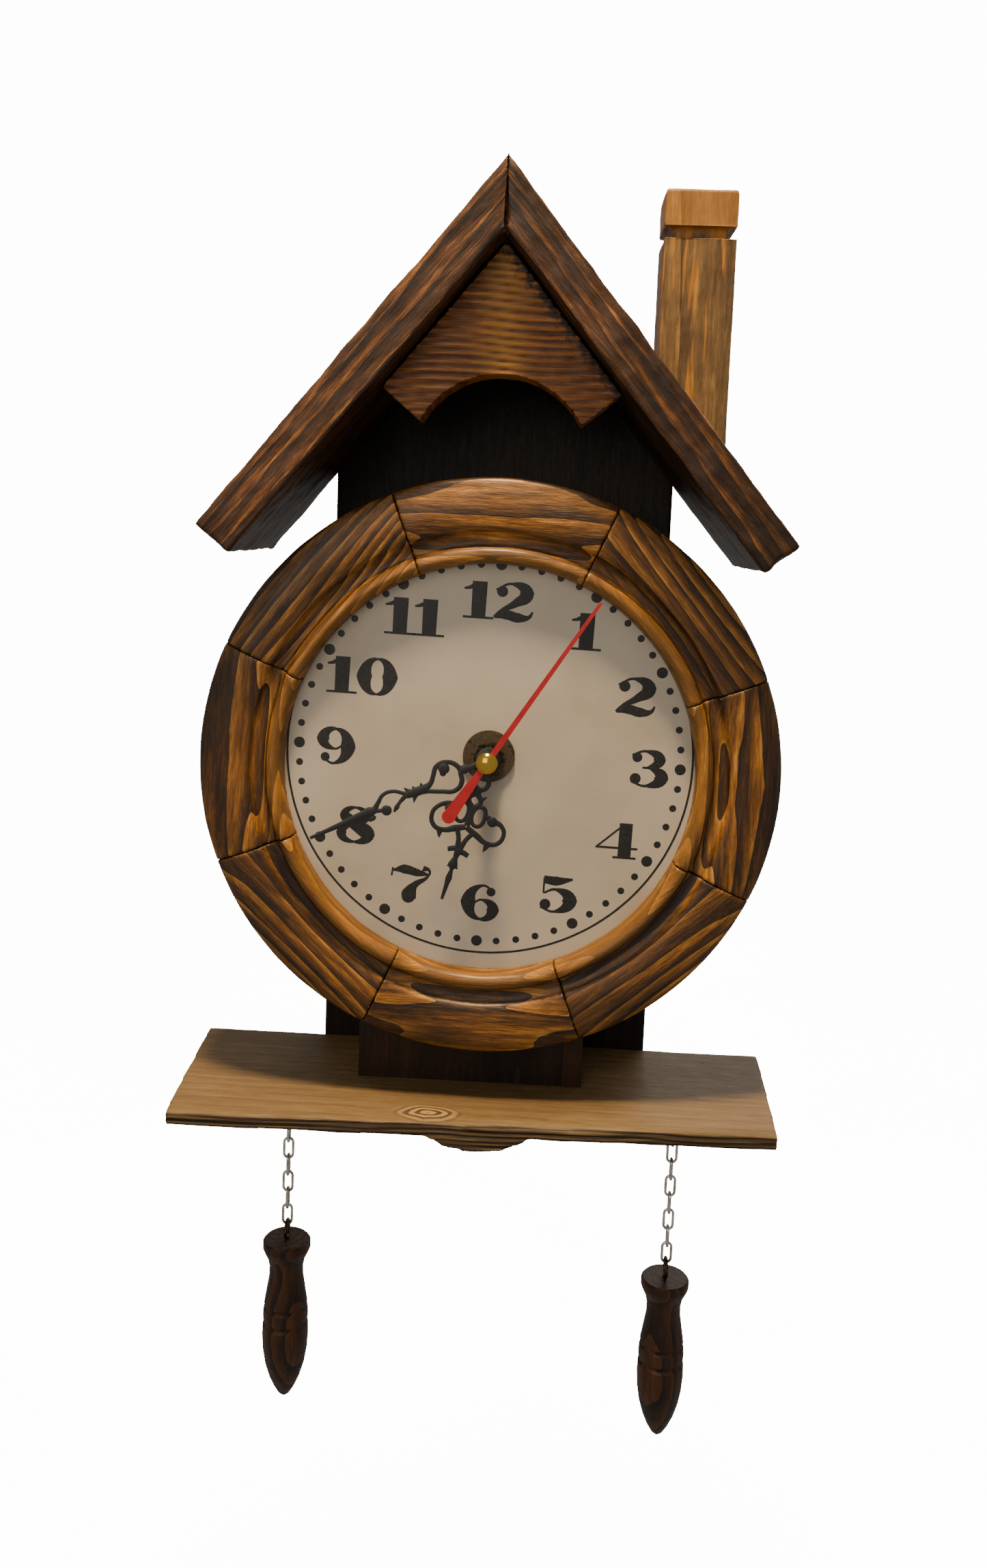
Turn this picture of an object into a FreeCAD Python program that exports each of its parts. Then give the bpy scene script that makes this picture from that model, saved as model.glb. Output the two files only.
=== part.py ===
import FreeCAD, Part
import math
import os

# A rustic house-shaped quartz wall clock with two chain-hung weights, in millimetres.
# +Z is up, the dial faces -Y, and the back lies on the wall plane Y = 0.
# The origin is the centre of the hanging hole, on the wall plane.

V = FreeCAD.Vector
X_AXIS = V(1, 0, 0)
Y_AXIS = V(0, 1, 0)
Z_AXIS = V(0, 0, 1)

# ---- Driving dimensions ----

# Height of the hands' axis below the hanging hole.
arbor_z = -120.0

# Back panel: a plank with a gabled top, cut to follow the roof.
panel_width = 134.0
panel_thickness = 9.0
panel_roof_setback = 4.0
access_hole_side = 66.0

# Roof: two boards mitred along the ridge.
roof_pitch = math.radians(50.3)
roof_thickness = 16.4
roof_half_span = 105.3
roof_depth = 75.0
ridge_height = 207.2          # above the hands' axis

# Gable board: fills the ridge corner, with an arch sawn in its lower edge.
gable_edge = 66.2             # along each roof board
gable_return = 18.2           # square to each roof board
gable_thickness = 15.0
gable_setback = 14.0          # behind the roof's front edge
gable_arch_rise = 17.0

# Chimney: a square stick with a groove under its cap.
chimney_width = 26.8
chimney_depth = 26.0
chimney_x = 69.4
chimney_height = 208.5        # above the hands' axis
chimney_back_gap = 4.0        # in front of the panel
chimney_cap_height = 13.5
chimney_groove_height = 4.2
chimney_groove_depth = 3.0

# Spine block: the plank that carries ring, movement and shelf.
spine_width = 86.5
spine_x = -3.5
spine_depth = 41.0
spine_top = 90.0              # above the hands' axis
pocket_side = 60.0

# Shelf: a live-edged board, with a knot bulging below its front edge.
shelf_top = -130.2            # relative to the hands' axis
shelf_thickness = 6.4
shelf_front_width = 222.0
shelf_back_width = 230.2
shelf_x = -0.8
shelf_depth_left = 80.0
shelf_depth_right = 73.5
knot_half_width = 19.0
knot_drop = 5.7
knot_x = 1.5

# Ring: eight mitred segments, glued and turned.
ring_segments = 8
ring_outer_r = 106.2
ring_bore_r = 75.0
ring_drop = 5.2               # its centre below the hands' axis
ring_back_wall = 12.0         # from the dial's face to the ring's back
bead_height = 7.8             # the following are heights in front of the dial's face
cove_height = 4.4
crown_height = 7.8
rim_height = 3.6
bead_width = 6.2
cove_width = 6.4
dial_seat_width = 4.0
dial_turn = math.radians(1.7)  # the glued-up dial and ring sit slightly clockwise

# Dial: a stiff board with a printed paper face.
dial_board_thickness = 2.7
dial_paper_thickness = 0.3
dial_clearance = 0.4

# Quartz movement.
case_side = 56.0
case_depth = 18.0
case_wall = 1.5
cover_clearance = 0.1
bush_r = 3.9
bush_bore_r = 2.63
bush_reach = 9.4              # in front of the case
dial_hole_gap = 0.2
washer_r = 9.5
washer_thickness = 1.2
nut_r = 5.7
nut_thickness = 2.4
battery_r = 7.1
battery_length = 49.4
battery_nub = 1.0

# Nested shafts, from the middle outwards.
second_arbor_r = 0.5
minute_pipe_bore_r = 0.56
minute_pipe_r = 1.6
hour_pipe_bore_r = 1.68
hour_pipe_r = 2.55
pivot_r = 0.5
pivot_gap = 0.06

# Heights of the hands in front of the dial's face.
hour_hand_height = 9.9
minute_hand_height = 12.6
second_hand_height = 15.0
hand_thickness = 0.4
second_cap_r = 3.8
second_cap_height = 2.0

# Hand directions at rest, clockwise from upright.
hour_angle = math.radians(196.0)
minute_angle = math.radians(244.0)
second_angle = math.radians(32.9)

# Chains and weights.
left_chain_x = -73.0
right_chain_x = 76.0
chain_y = -52.0
left_link_count = 7
right_link_count = 8
link_wire = 1.1
link_inner_length = 6.94
link_inner_width = 2.4
link_slack = 0.1
hook_wire = 1.2
hook_inner_r = 2.6
eye_wire = 1.3
eye_inner_r = 2.7
weight_length = 66.5

# Fixings.
wood_screw_r = 1.6
wood_screw_head_r = 3.4
screw_gap = 0.1
dowel_r = 3.0
dowel_gap = 0.05
hanger_width = 46.0
hanger_height = 18.0
hanger_thickness = 1.2
hanger_hole_r = 4.0

# ---- Planes and centres worked out from them ----

panel_front = -panel_thickness
spine_front = panel_front - spine_depth
dial_face = spine_front - ring_back_wall
dial_board_front = dial_face + dial_paper_thickness
dial_back = dial_board_front + dial_board_thickness
case_front = dial_back
case_back = case_front + case_depth
roof_front = panel_front - roof_depth
ridge_z = arbor_z + ridge_height
shelf_top_z = arbor_z + shelf_top
shelf_under_z = shelf_top_z - shelf_thickness
ring_z = arbor_z - ring_drop
roof_slope = math.tan(roof_pitch)
inner_ridge_z = ridge_z - roof_thickness / math.cos(roof_pitch)


# ---- Small building functions ----

def box(x0, x1, y0, y1, z0, z1):
    return Part.makeBox(x1 - x0, y1 - y0, z1 - z0, V(x0, y0, z0))


def rod_y(x, z, r, y0, y1):
    return Part.makeCylinder(r, y1 - y0, V(x, y0, z), Y_AXIS)


def rod_z(x, y, r, z0, z1):
    return Part.makeCylinder(r, z1 - z0, V(x, y, z0), Z_AXIS)


def tube_y(x, z, r_out, r_in, y0, y1):
    return rod_y(x, z, r_out, y0, y1).cut(rod_y(x, z, r_in, y0 - 1, y1 + 1))


def prism_y(outline, y0, y1):
    """A closed outline of (x, z) points, carried from y0 to y1."""
    wire = Part.makePolygon([V(x, y0, z) for x, z in outline + outline[:1]])
    return Part.Face(wire).extrude(V(0, y1 - y0, 0))


def turned_z(profile, x, y, z):
    """A closed outline of (radius, height) points, turned about an upright axis at x, y."""
    points = [V(x + r, y, z + h) for r, h in profile]
    wire = Part.makePolygon(points + points[:1])
    return Part.Face(wire).revolve(V(x, y, z), Z_AXIS, 360)


def soften(shape, radius, chosen):
    """Rounds the edges that the function chosen accepts."""
    edges = [edge for edge in shape.Edges if chosen(edge)]
    return shape.makeFillet(radius, edges)


def runs_along(edge, axis):
    a = edge.Vertexes[0].Point
    b = edge.Vertexes[-1].Point
    return (b - a).Length > 1 and abs((b - a).normalize().dot(axis)) > 0.999


def save(name, shape):
    if shape.ShapeType == "Compound" and len(shape.Solids) == 1:
        shape = shape.Solids[0]
    shape.exportStep("parts/" + name + ".step")


os.makedirs("parts", exist_ok=True)

# ---- Wood screws and dowels: one shape for the screw, a slightly larger one for its hole ----


def wood_screw(head, direction, length, gap=0.0):
    """A countersunk wood screw, with its head's flat face at the point head."""
    head_depth = wood_screw_head_r - wood_screw_r
    cone = Part.makeCone(wood_screw_head_r + gap, wood_screw_r + gap, head_depth, head, direction)
    shank = Part.makeCylinder(wood_screw_r + gap, length - 3, head, direction)
    tip_base = head + direction * (length - 3)
    tip = Part.makeCone(wood_screw_r + gap, 0.4 + gap, 3 + gap, tip_base, direction)
    return cone.fuse([shank, tip]).removeSplitter()


def cut_screws(shape, screws):
    """Cuts the holes of screws, given as (head, direction, length)."""
    for head, direction, length in screws:
        shape = shape.cut(wood_screw(head, direction, length, screw_gap))
    return shape


into_panel = V(0, -1, 0)
roof_screw_z = [ridge_z - 26, ridge_z - 62]
panel_screws = []
for side in (-1, 1):
    for screw_z in roof_screw_z:
        board_middle = (ridge_z - screw_z) / roof_slope - roof_thickness / 2 / math.sin(roof_pitch)
        panel_screws.append((V(side * board_middle, 0, screw_z), into_panel, 34))
    spine_screw_x = spine_x + side * (spine_width / 2 - 6)
    for screw_z in (arbor_z + 70, shelf_top_z + 22):
        panel_screws.append((V(spine_screw_x, 0, screw_z), into_panel, 34))

shelf_screws = []
for side in (-1, 1):
    for screw_y in (panel_front - 8, spine_front + 8):
        shelf_screws.append((V(spine_x + side * 30, screw_y, shelf_under_z), Z_AXIS, 24))

hanger_screws = []
for side in (-1, 1):
    hanger_screws.append((V(side * 16, 0, 0), into_panel, 8))

save("panel_screws", Part.makeCompound([wood_screw(*screw) for screw in panel_screws]))
save("shelf_screws", Part.makeCompound([wood_screw(*screw) for screw in shelf_screws]))
save("hanger_screws", Part.makeCompound([wood_screw(*screw) for screw in hanger_screws]))

# ---- Hanger plate, let into the back of the panel ----

hanger_box = (-hanger_width / 2, hanger_width / 2, -hanger_thickness, 0,
              -hanger_height / 2, hanger_height / 2)
hanger = box(*hanger_box)
hanger = soften(hanger, 4, lambda edge: runs_along(edge, Y_AXIS))
hanger = hanger.cut(rod_y(0, 0, hanger_hole_r, -3, 1))
hanger = cut_screws(hanger, hanger_screws)
save("hanger_plate", hanger)

# ---- Back panel ----

panel_outer_z = ridge_z - panel_roof_setback
half = panel_width / 2
panel_outline = [(-half, shelf_under_z), (half, shelf_under_z),
                 (half, panel_outer_z - half * roof_slope), (0, panel_outer_z),
                 (-half, panel_outer_z - half * roof_slope)]
panel = prism_y(panel_outline, panel_front, 0)
panel = soften(panel, 1.5, lambda edge: runs_along(edge, Z_AXIS) and edge.CenterOfMass.y < -1)
access = access_hole_side / 2
panel = panel.cut(box(-access, access, panel_front - 1, 1, arbor_z - access, arbor_z + access))
recess = 0.15
panel = panel.cut(box(hanger_box[0] - recess, hanger_box[1] + recess, -hanger_thickness, 1,
                      hanger_box[4] - recess, hanger_box[5] + recess))
panel = panel.cut(rod_y(0, 0, hanger_hole_r + 3, panel_front + 2, 1))
panel = cut_screws(panel, panel_screws + hanger_screws)
save("back_panel", panel)

# ---- Chimney with its dowel, and the roof boards ----

chimney_y1 = panel_front - chimney_back_gap
chimney_y0 = chimney_y1 - chimney_depth
chimney_x0 = chimney_x - chimney_width / 2
chimney_x1 = chimney_x + chimney_width / 2
chimney_top_z = arbor_z + chimney_height
chimney_outline = [(chimney_x0, ridge_z - chimney_x0 * roof_slope),
                   (chimney_x1, ridge_z - chimney_x1 * roof_slope),
                   (chimney_x1, chimney_top_z), (chimney_x0, chimney_top_z)]
chimney = prism_y(chimney_outline, chimney_y0, chimney_y1)
groove_z1 = chimney_top_z - chimney_cap_height
groove_z0 = groove_z1 - chimney_groove_height
groove = box(chimney_x0 - 1, chimney_x1 + 1, chimney_y0 - 1, chimney_y1 + 1, groove_z0, groove_z1)
neck = box(chimney_x0 + chimney_groove_depth, chimney_x1 - chimney_groove_depth,
           chimney_y0 + chimney_groove_depth, chimney_y1 - chimney_groove_depth,
           groove_z0, groove_z1)
chimney = chimney.cut(groove.cut(neck))
chimney = soften(chimney, 1.2, lambda edge: edge.CenterOfMass.z > chimney_top_z - 0.1)

roof_normal = V(math.sin(roof_pitch), 0, math.cos(roof_pitch))
chimney_foot = V(chimney_x, (chimney_y0 + chimney_y1) / 2, ridge_z - chimney_x * roof_slope)
dowel_start = chimney_foot - roof_normal * 8
chimney_dowel = Part.makeCylinder(dowel_r, 16, dowel_start, roof_normal)
dowel_hole = Part.makeCylinder(dowel_r + dowel_gap, 16.4, dowel_start - roof_normal * 0.2, roof_normal)
save("chimney", chimney.cut(dowel_hole))
save("chimney_dowel", chimney_dowel)


def roof_board(side):
    """One board, from the upright mitre at the ridge to an eave cut square to the slope."""
    eave_z = ridge_z - roof_half_span * roof_slope
    inner_eave_x = roof_half_span - roof_thickness * math.sin(roof_pitch)
    inner_eave_z = eave_z - roof_thickness * math.cos(roof_pitch)
    outline = [(0, ridge_z), (side * roof_half_span, eave_z),
               (side * inner_eave_x, inner_eave_z), (0, inner_ridge_z)]
    board = prism_y(outline, roof_front, panel_front)

    def outer_corner(edge):
        middle = edge.CenterOfMass
        long_front = abs(middle.y - roof_front) < 0.1 and abs(middle.x) > 1
        eave_corner = runs_along(edge, Y_AXIS) and abs(middle.x) > 1
        return long_front or eave_corner
    board = soften(board, 1.6, outer_corner)
    return cut_screws(board, panel_screws)


save("roof_board_left", roof_board(-1))
save("roof_board_right", roof_board(1).cut(dowel_hole))

# ---- Gable board ----

along = V(math.cos(roof_pitch), 0, -math.sin(roof_pitch))
corner = V(0, 0, inner_ridge_z) + along * gable_edge
foot = corner - roof_normal * gable_return
gable_y0 = roof_front + gable_setback
gable_y1 = gable_y0 + gable_thickness
gable_outline = [(0, inner_ridge_z), (corner.x, corner.z), (foot.x, foot.z),
                 (-foot.x, foot.z), (-corner.x, corner.z)]
gable = prism_y(gable_outline, gable_y0, gable_y1)
arch_r = (foot.x ** 2 + gable_arch_rise ** 2) / (2 * gable_arch_rise)
arch_z = foot.z + gable_arch_rise - arch_r
gable = gable.cut(rod_y(0, arch_z, arch_r, gable_y0 - 1, gable_y1 + 1))
save("gable_board", gable)

# ---- Spine block, with the pocket for the movement ----

ring_dowel_ring_r = (ring_outer_r + ring_bore_r) / 2 + 1
ring_dowels = []
ring_dowel_holes = []
for angle in (72, 108, 252, 288):
    x = ring_dowel_ring_r * math.cos(math.radians(angle))
    z = ring_z + ring_dowel_ring_r * math.sin(math.radians(angle))
    ring_dowels.append(rod_y(x, z, dowel_r, spine_front - 8, spine_front + 8))
    ring_dowel_holes.append(rod_y(x, z, dowel_r + dowel_gap, spine_front - 8.2, spine_front + 8.2))
save("ring_dowels", Part.makeCompound(ring_dowels))

spine_x0 = spine_x - spine_width / 2
spine_x1 = spine_x + spine_width / 2
spine = box(spine_x0, spine_x1, spine_front, panel_front, shelf_top_z, arbor_z + spine_top)
pocket = pocket_side / 2
spine = spine.cut(box(-pocket, pocket, spine_front - 1, panel_front + 1,
                      arbor_z - pocket, arbor_z + pocket))
spine = spine.cut(ring_dowel_holes)
spine = cut_screws(spine, panel_screws + shelf_screws)
save("spine_block", spine)

# ---- Shelf ----

front_half = shelf_front_width / 2
back_half = shelf_back_width / 2
left_y = panel_front - shelf_depth_left
right_y = panel_front - shelf_depth_right
shelf_corners = [V(shelf_x - back_half, panel_front, shelf_under_z),
                 V(shelf_x + back_half, panel_front, shelf_under_z),
                 V(shelf_x + front_half, right_y, shelf_under_z),
                 V(shelf_x - front_half, left_y, shelf_under_z)]
shelf_face = Part.Face(Part.makePolygon(shelf_corners + shelf_corners[:1]))
shelf = shelf_face.extrude(V(0, 0, shelf_thickness))
knot_r = (knot_half_width ** 2 + knot_drop ** 2) / (2 * knot_drop)
knot_share = (knot_x - shelf_x + front_half) / shelf_front_width
knot_y = left_y + knot_share * (right_y - left_y)
knot_centre = V(knot_x, knot_y, shelf_under_z - knot_drop + knot_r)
knot = Part.makeSphere(knot_r, knot_centre)
knot = knot.common(shelf_face.extrude(V(0, 0, -2 * knot_drop)))
shelf = shelf.fuse(knot).removeSplitter()
shelf = cut_screws(shelf, shelf_screws)
hook_shank_length = shelf_thickness - 1.2
hook_shank_r = 1.0
for hook_x in (left_chain_x, right_chain_x):
    shelf = shelf.cut(rod_z(hook_x, chain_y, hook_shank_r + dowel_gap,
                            shelf_under_z - 1, shelf_under_z + hook_shank_length + 0.2))
save("shelf", shelf)

# ---- Ring segments ----

rim_r = 2.2
bead_outer_r = ring_bore_r + bead_width
cove_outer_r = bead_outer_r + cove_width
seat_r = ring_bore_r + dial_seat_width
crown_r = (cove_outer_r + ring_outer_r) / 2 - 1


def ring_point(r, height):
    """A point of the turned profile: radius, and height in front of the dial's face."""
    return V(r, dial_face - height, 0)


def ring_profile():
    bore_foot = ring_point(ring_bore_r, 0)
    bore_lip = ring_point(ring_bore_r + 0.7, bead_height - 2.4)
    bead_top = ring_point(ring_bore_r + 0.45 * bead_width, bead_height)
    bead_edge = ring_point(bead_outer_r, bead_height - 1.2)
    cove_start = ring_point(bead_outer_r + 0.4, cove_height + 0.4)
    cove_floor = ring_point(bead_outer_r + 0.45 * cove_width, cove_height)
    cove_end = ring_point(cove_outer_r, crown_height - 0.9)
    crown_top = ring_point(crown_r, crown_height)
    face_end = ring_point(ring_outer_r - rim_r, rim_height + rim_r)
    rim_middle = ring_point(ring_outer_r - 0.3 * rim_r, rim_height + 0.62 * rim_r)
    rim_end = ring_point(ring_outer_r, rim_height)
    back_outer = ring_point(ring_outer_r, -ring_back_wall)
    back_inner = ring_point(seat_r, -ring_back_wall)
    seat_corner = ring_point(seat_r, 0)
    edges = [Part.LineSegment(bore_foot, bore_lip),
             Part.Arc(bore_lip, bead_top, bead_edge),
             Part.LineSegment(bead_edge, cove_start),
             Part.Arc(cove_start, cove_floor, cove_end),
             Part.Arc(cove_end, crown_top, face_end),
             Part.Arc(face_end, rim_middle, rim_end),
             Part.LineSegment(rim_end, back_outer),
             Part.LineSegment(back_outer, back_inner),
             Part.LineSegment(back_inner, seat_corner),
             Part.LineSegment(seat_corner, bore_foot)]
    return Part.Face(Part.Wire([edge.toShape() for edge in edges]))


segment_degrees = 360.0 / ring_segments
profile = ring_profile()
for index in range(ring_segments):
    segment = profile.revolve(V(0, 0, 0), Y_AXIS, segment_degrees)
    start = (index - 0.5) * segment_degrees - 90 + math.degrees(dial_turn)
    segment.rotate(V(0, 0, 0), Y_AXIS, start)
    segment.translate(V(0, 0, ring_z))
    segment = segment.cut(ring_dowel_holes)
    save("ring_segment_%d" % (index + 1), segment)

# ---- Dial ----

dial_r = seat_r - dial_clearance
dial_hole_r = bush_r + dial_hole_gap
dial_hole = rod_y(0, arbor_z, dial_hole_r, dial_face - 1, dial_back + 1)
save("dial_paper", rod_y(0, ring_z, dial_r, dial_face, dial_board_front).cut(dial_hole))
save("dial_board", rod_y(0, ring_z, dial_r, dial_board_front, dial_back).cut(dial_hole))

# ---- Movement case: an open box with a battery bay, a cover and the threaded bush ----

half_case = case_side / 2
inner = half_case - case_wall
bay_top = -11.4
train_floor = bay_top + case_wall
train_y0 = case_front + case_wall
cover_y0 = case_back - case_wall

case = box(-half_case, half_case, case_front, case_back, arbor_z - half_case, arbor_z + half_case)
case = soften(case, 3, lambda edge: runs_along(edge, Y_AXIS))
case = case.cut(box(-inner, inner, train_y0, case_back + 1, arbor_z + train_floor, arbor_z + inner))
case = case.cut(box(-inner, inner, train_y0, case_back + 1, arbor_z - inner, arbor_z + bay_top))
bush = rod_y(0, arbor_z, bush_r, case_front - bush_reach, case_front)
case = case.fuse(bush).removeSplitter()
case = case.cut(rod_y(0, arbor_z, bush_bore_r, case_front - bush_reach - 1, train_y0 + 1))

# ---- Wheel train: the wheels are plain discs at their pitch circles, a hair apart ----

centre_distance = 9.0
mesh_gap = 0.1
wheel_thickness = 0.8
level_step = 1.6


def level(number):
    """The front face of a wheel on the given level, counted from the front plate."""
    return train_y0 + 0.3 + (number - 1) * level_step


def polar(distance, degrees):
    angle = math.radians(degrees)
    return distance * math.cos(angle), arbor_z + distance * math.sin(angle)


def pitch_radii(distance, first_teeth, second_teeth):
    """Radii of two meshing discs whose centres are distance apart, less the mesh gap."""
    first = distance * first_teeth / (first_teeth + second_teeth)
    return first - mesh_gap / 2, distance - first - mesh_gap / 2


def disc(x, z, r, number):
    return rod_y(x, z, r, level(number), level(number) + wheel_thickness)


motion_x, motion_z = polar(centre_distance, 30)
third_x, third_z = polar(centre_distance, 135)
reduction_x, reduction_z = polar(7.2, -30)
rotor_x = reduction_x + 7.0
rotor_z = reduction_z

hour_wheel_r, motion_pinion_r = pitch_radii(centre_distance, 40, 10)
cannon_r, motion_wheel_r = pitch_radii(centre_distance, 12, 36)
centre_wheel_r, third_pinion_r = pitch_radii(centre_distance, 64, 8)
second_pinion_r, third_wheel_r = pitch_radii(centre_distance, 8, 60)
second_wheel_r, reduction_pinion_r = pitch_radii(7.2, 40, 8)
reduction_wheel_r, rotor_pinion_r = pitch_radii(7.0, 48, 8)

hour_hand_back = dial_face - hour_hand_height
minute_hand_back = dial_face - minute_hand_height
second_hand_back = dial_face - second_hand_height

hour_pipe = rod_y(0, arbor_z, hour_pipe_r, hour_hand_back - hand_thickness, level(1))
hour_pipe = hour_pipe.fuse(disc(0, arbor_z, hour_wheel_r, 1))
hour_pipe = hour_pipe.cut(rod_y(0, arbor_z, hour_pipe_bore_r, hour_hand_back - 2, level(2)))
save("hour_wheel", hour_pipe)

minute_pipe_end = level(3) + wheel_thickness
minute_pipe = rod_y(0, arbor_z, minute_pipe_r, minute_hand_back - hand_thickness, minute_pipe_end)
minute_pipe = minute_pipe.fuse([disc(0, arbor_z, cannon_r, 2), disc(0, arbor_z, centre_wheel_r, 3)])
minute_pipe = minute_pipe.cut(rod_y(0, arbor_z, minute_pipe_bore_r, minute_hand_back - 2, level(4)))
save("centre_wheel", minute_pipe)

cover_pivot_y = cover_y0 + 0.8
second_arbor = rod_y(0, arbor_z, second_arbor_r, second_hand_back - hand_thickness, cover_pivot_y)
second_arbor = second_arbor.fuse([disc(0, arbor_z, second_pinion_r, 4),
                                  disc(0, arbor_z, second_wheel_r, 5)])
save("second_wheel", second_arbor)

front_pivot_y = train_y0 - 0.8
third = rod_y(third_x, third_z, pivot_r, front_pivot_y, cover_pivot_y)
third = third.fuse([disc(third_x, third_z, third_pinion_r, 3), disc(third_x, third_z, third_wheel_r, 4)])
save("third_wheel", third)

knob_gap = 0.5
motion = rod_y(motion_x, motion_z, pivot_r, front_pivot_y, case_back + knob_gap)
motion = motion.fuse([disc(motion_x, motion_z, motion_pinion_r, 1),
                      disc(motion_x, motion_z, motion_wheel_r, 2)])
save("motion_wheel", motion)

knob_r = 5.5
knob_y0 = case_back + knob_gap
knob = rod_y(motion_x, motion_z, knob_r, knob_y0, knob_y0 + 4)
flute_count = 16
for index in range(flute_count):
    angle = 2 * math.pi * index / flute_count
    knob = knob.cut(rod_y(motion_x + (knob_r + 0.2) * math.cos(angle),
                          motion_z + (knob_r + 0.2) * math.sin(angle), 0.6, knob_y0 - 1, knob_y0 + 5))
save("setting_knob", knob)

bridge_y0 = level(4) + wheel_thickness + 0.2
bridge_y1 = level(5) - 0.2
reduction = rod_y(reduction_x, reduction_z, pivot_r, bridge_y0, cover_pivot_y)
reduction = reduction.fuse([disc(reduction_x, reduction_z, reduction_pinion_r, 5),
                            disc(reduction_x, reduction_z, reduction_wheel_r, 6)])
save("reduction_wheel", reduction)

magnet_r = 2.0
magnet_y0 = level(6) + wheel_thickness + 0.4
magnet_y1 = magnet_y0 + 2.0
rotor = rod_y(rotor_x, rotor_z, pivot_r, bridge_y0, cover_pivot_y)
rotor = rotor.fuse([disc(rotor_x, rotor_z, rotor_pinion_r, 6),
                    rod_y(rotor_x, rotor_z, magnet_r, magnet_y0, magnet_y1)])
save("rotor", rotor)

# Bridge plate between the slow and the fast wheels.
edge_gap = 0.2
bridge = box(-inner + edge_gap, inner - edge_gap, bridge_y0, bridge_y1,
             arbor_z + train_floor + edge_gap, arbor_z + inner - edge_gap)
pivots = [(0, arbor_z, second_arbor_r), (third_x, third_z, pivot_r), (motion_x, motion_z, pivot_r),
          (reduction_x, reduction_z, pivot_r), (rotor_x, rotor_z, pivot_r)]
pivot_holes = [rod_y(x, z, r + pivot_gap, front_pivot_y - 0.2, cover_pivot_y + 0.2)
               for x, z, r in pivots]
knob_hole = rod_y(motion_x, motion_z, pivot_r + pivot_gap, cover_y0 - 1, case_back + 1)
save("bridge_plate", bridge.cut(pivot_holes))

cover = box(-inner + cover_clearance, inner - cover_clearance, cover_y0, case_back,
            arbor_z + train_floor + cover_clearance, arbor_z + inner - cover_clearance)
save("case_cover", cover.cut(pivot_holes + [knob_hole]))
front_pivots = [pivot_holes[1], pivot_holes[2]]
save("movement_case", case.cut(front_pivots))

# Stepping motor: a flat stator with a coil on its right leg.
stator_y0 = magnet_y0 + 0.5
stator_y1 = stator_y0 + 1.0
stator_x0 = rotor_x - 3.0
coil_x = inner - 4.4
stator_z0 = rotor_z - 3.4
stator = box(stator_x0, coil_x + 1, stator_y0, stator_y1, stator_z0, rotor_z + 3.4)
stator = stator.fuse([box(stator_x0, stator_x0 + 2, stator_y0, stator_y1, rotor_z, rotor_z + 26),
                      box(stator_x0, coil_x + 1, stator_y0, stator_y1, rotor_z + 24, rotor_z + 26),
                      box(coil_x - 1, coil_x + 1, stator_y0, stator_y1, rotor_z, rotor_z + 26)])
stator = stator.removeSplitter().cut(rod_y(rotor_x, rotor_z, magnet_r + 0.4, stator_y0 - 1, stator_y1 + 1))
save("stator", stator)
coil_z0 = rotor_z + 4.5
coil = rod_z(coil_x, (stator_y0 + stator_y1) / 2, 3.0, coil_z0, coil_z0 + 18)
coil_slot = box(coil_x - 1.1, coil_x + 1.1, stator_y0 - 0.1, stator_y1 + 0.1, coil_z0 - 1, coil_z0 + 19)
save("coil", coil.cut(coil_slot))

# Circuit board with its chip and crystal, above the battery's left half.
board_x0 = -inner + 0.8
board_y0 = level(6)
board = box(board_x0, board_x0 + 14, board_y0, board_y0 + 1, arbor_z + 1, arbor_z + inner - 1)
chip = box(board_x0 + 4, board_x0 + 10, board_y0 + 1, board_y0 + 2, arbor_z + 12, arbor_z + 18)
crystal = rod_z(board_x0 + 7, board_y0 + 2, 1.0, arbor_z + 3, arbor_z + 9)
save("circuit_board", Part.makeCompound([board, chip, crystal]))

# AA cell lying in the bay, between its two contact strips.
bay_middle = arbor_z - inner + battery_r + 0.4
battery_y = train_y0 + battery_r + 0.2
contact_thickness = 0.4
battery_x0 = -inner + contact_thickness + 1.0
battery = Part.makeCylinder(battery_r, battery_length, V(battery_x0, battery_y, bay_middle), X_AXIS)
nub = Part.makeCylinder(2.7, battery_nub, V(battery_x0 + battery_length, battery_y, bay_middle), X_AXIS)
save("battery", battery.fuse(nub).removeSplitter())


def battery_contact(x0, bump_direction):
    strip = box(x0, x0 + contact_thickness, battery_y - 5, battery_y + 5, bay_middle - 5, bay_middle + 5)
    bump_x = x0 + contact_thickness if bump_direction > 0 else x0
    bump = Part.makeCone(2.5, 1.2, 0.8, V(bump_x, battery_y, bay_middle), V(bump_direction, 0, 0))
    return strip.fuse(bump).removeSplitter()


save("negative_contact", battery_contact(-inner, 1))
save("positive_contact", box(inner - contact_thickness, inner, battery_y - 5, battery_y + 5,
                             bay_middle - 5, bay_middle + 5))

# ---- Washer and nut that clamp the movement to the dial ----

bush_fit = 0.05
washer = tube_y(0, arbor_z, washer_r, bush_r + bush_fit, dial_face - washer_thickness, dial_face)
save("dial_washer", washer)
nut_y1 = dial_face - washer_thickness
nut_outline = []
for index in range(6):
    angle = math.radians(60 * index + 10)
    nut_outline.append((nut_r * math.cos(angle), arbor_z + nut_r * math.sin(angle)))
nut = prism_y(nut_outline, nut_y1 - nut_thickness, nut_y1)
nut = nut.common(rod_y(0, arbor_z, nut_r * 0.96, nut_y1 - nut_thickness, nut_y1))
save("bush_nut", nut.cut(rod_y(0, arbor_z, bush_r + bush_fit, nut_y1 - 9, nut_y1 + 1)))

# ---- Hands: flat pierced shapes, drawn pointing up from the arbor ----


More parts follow.
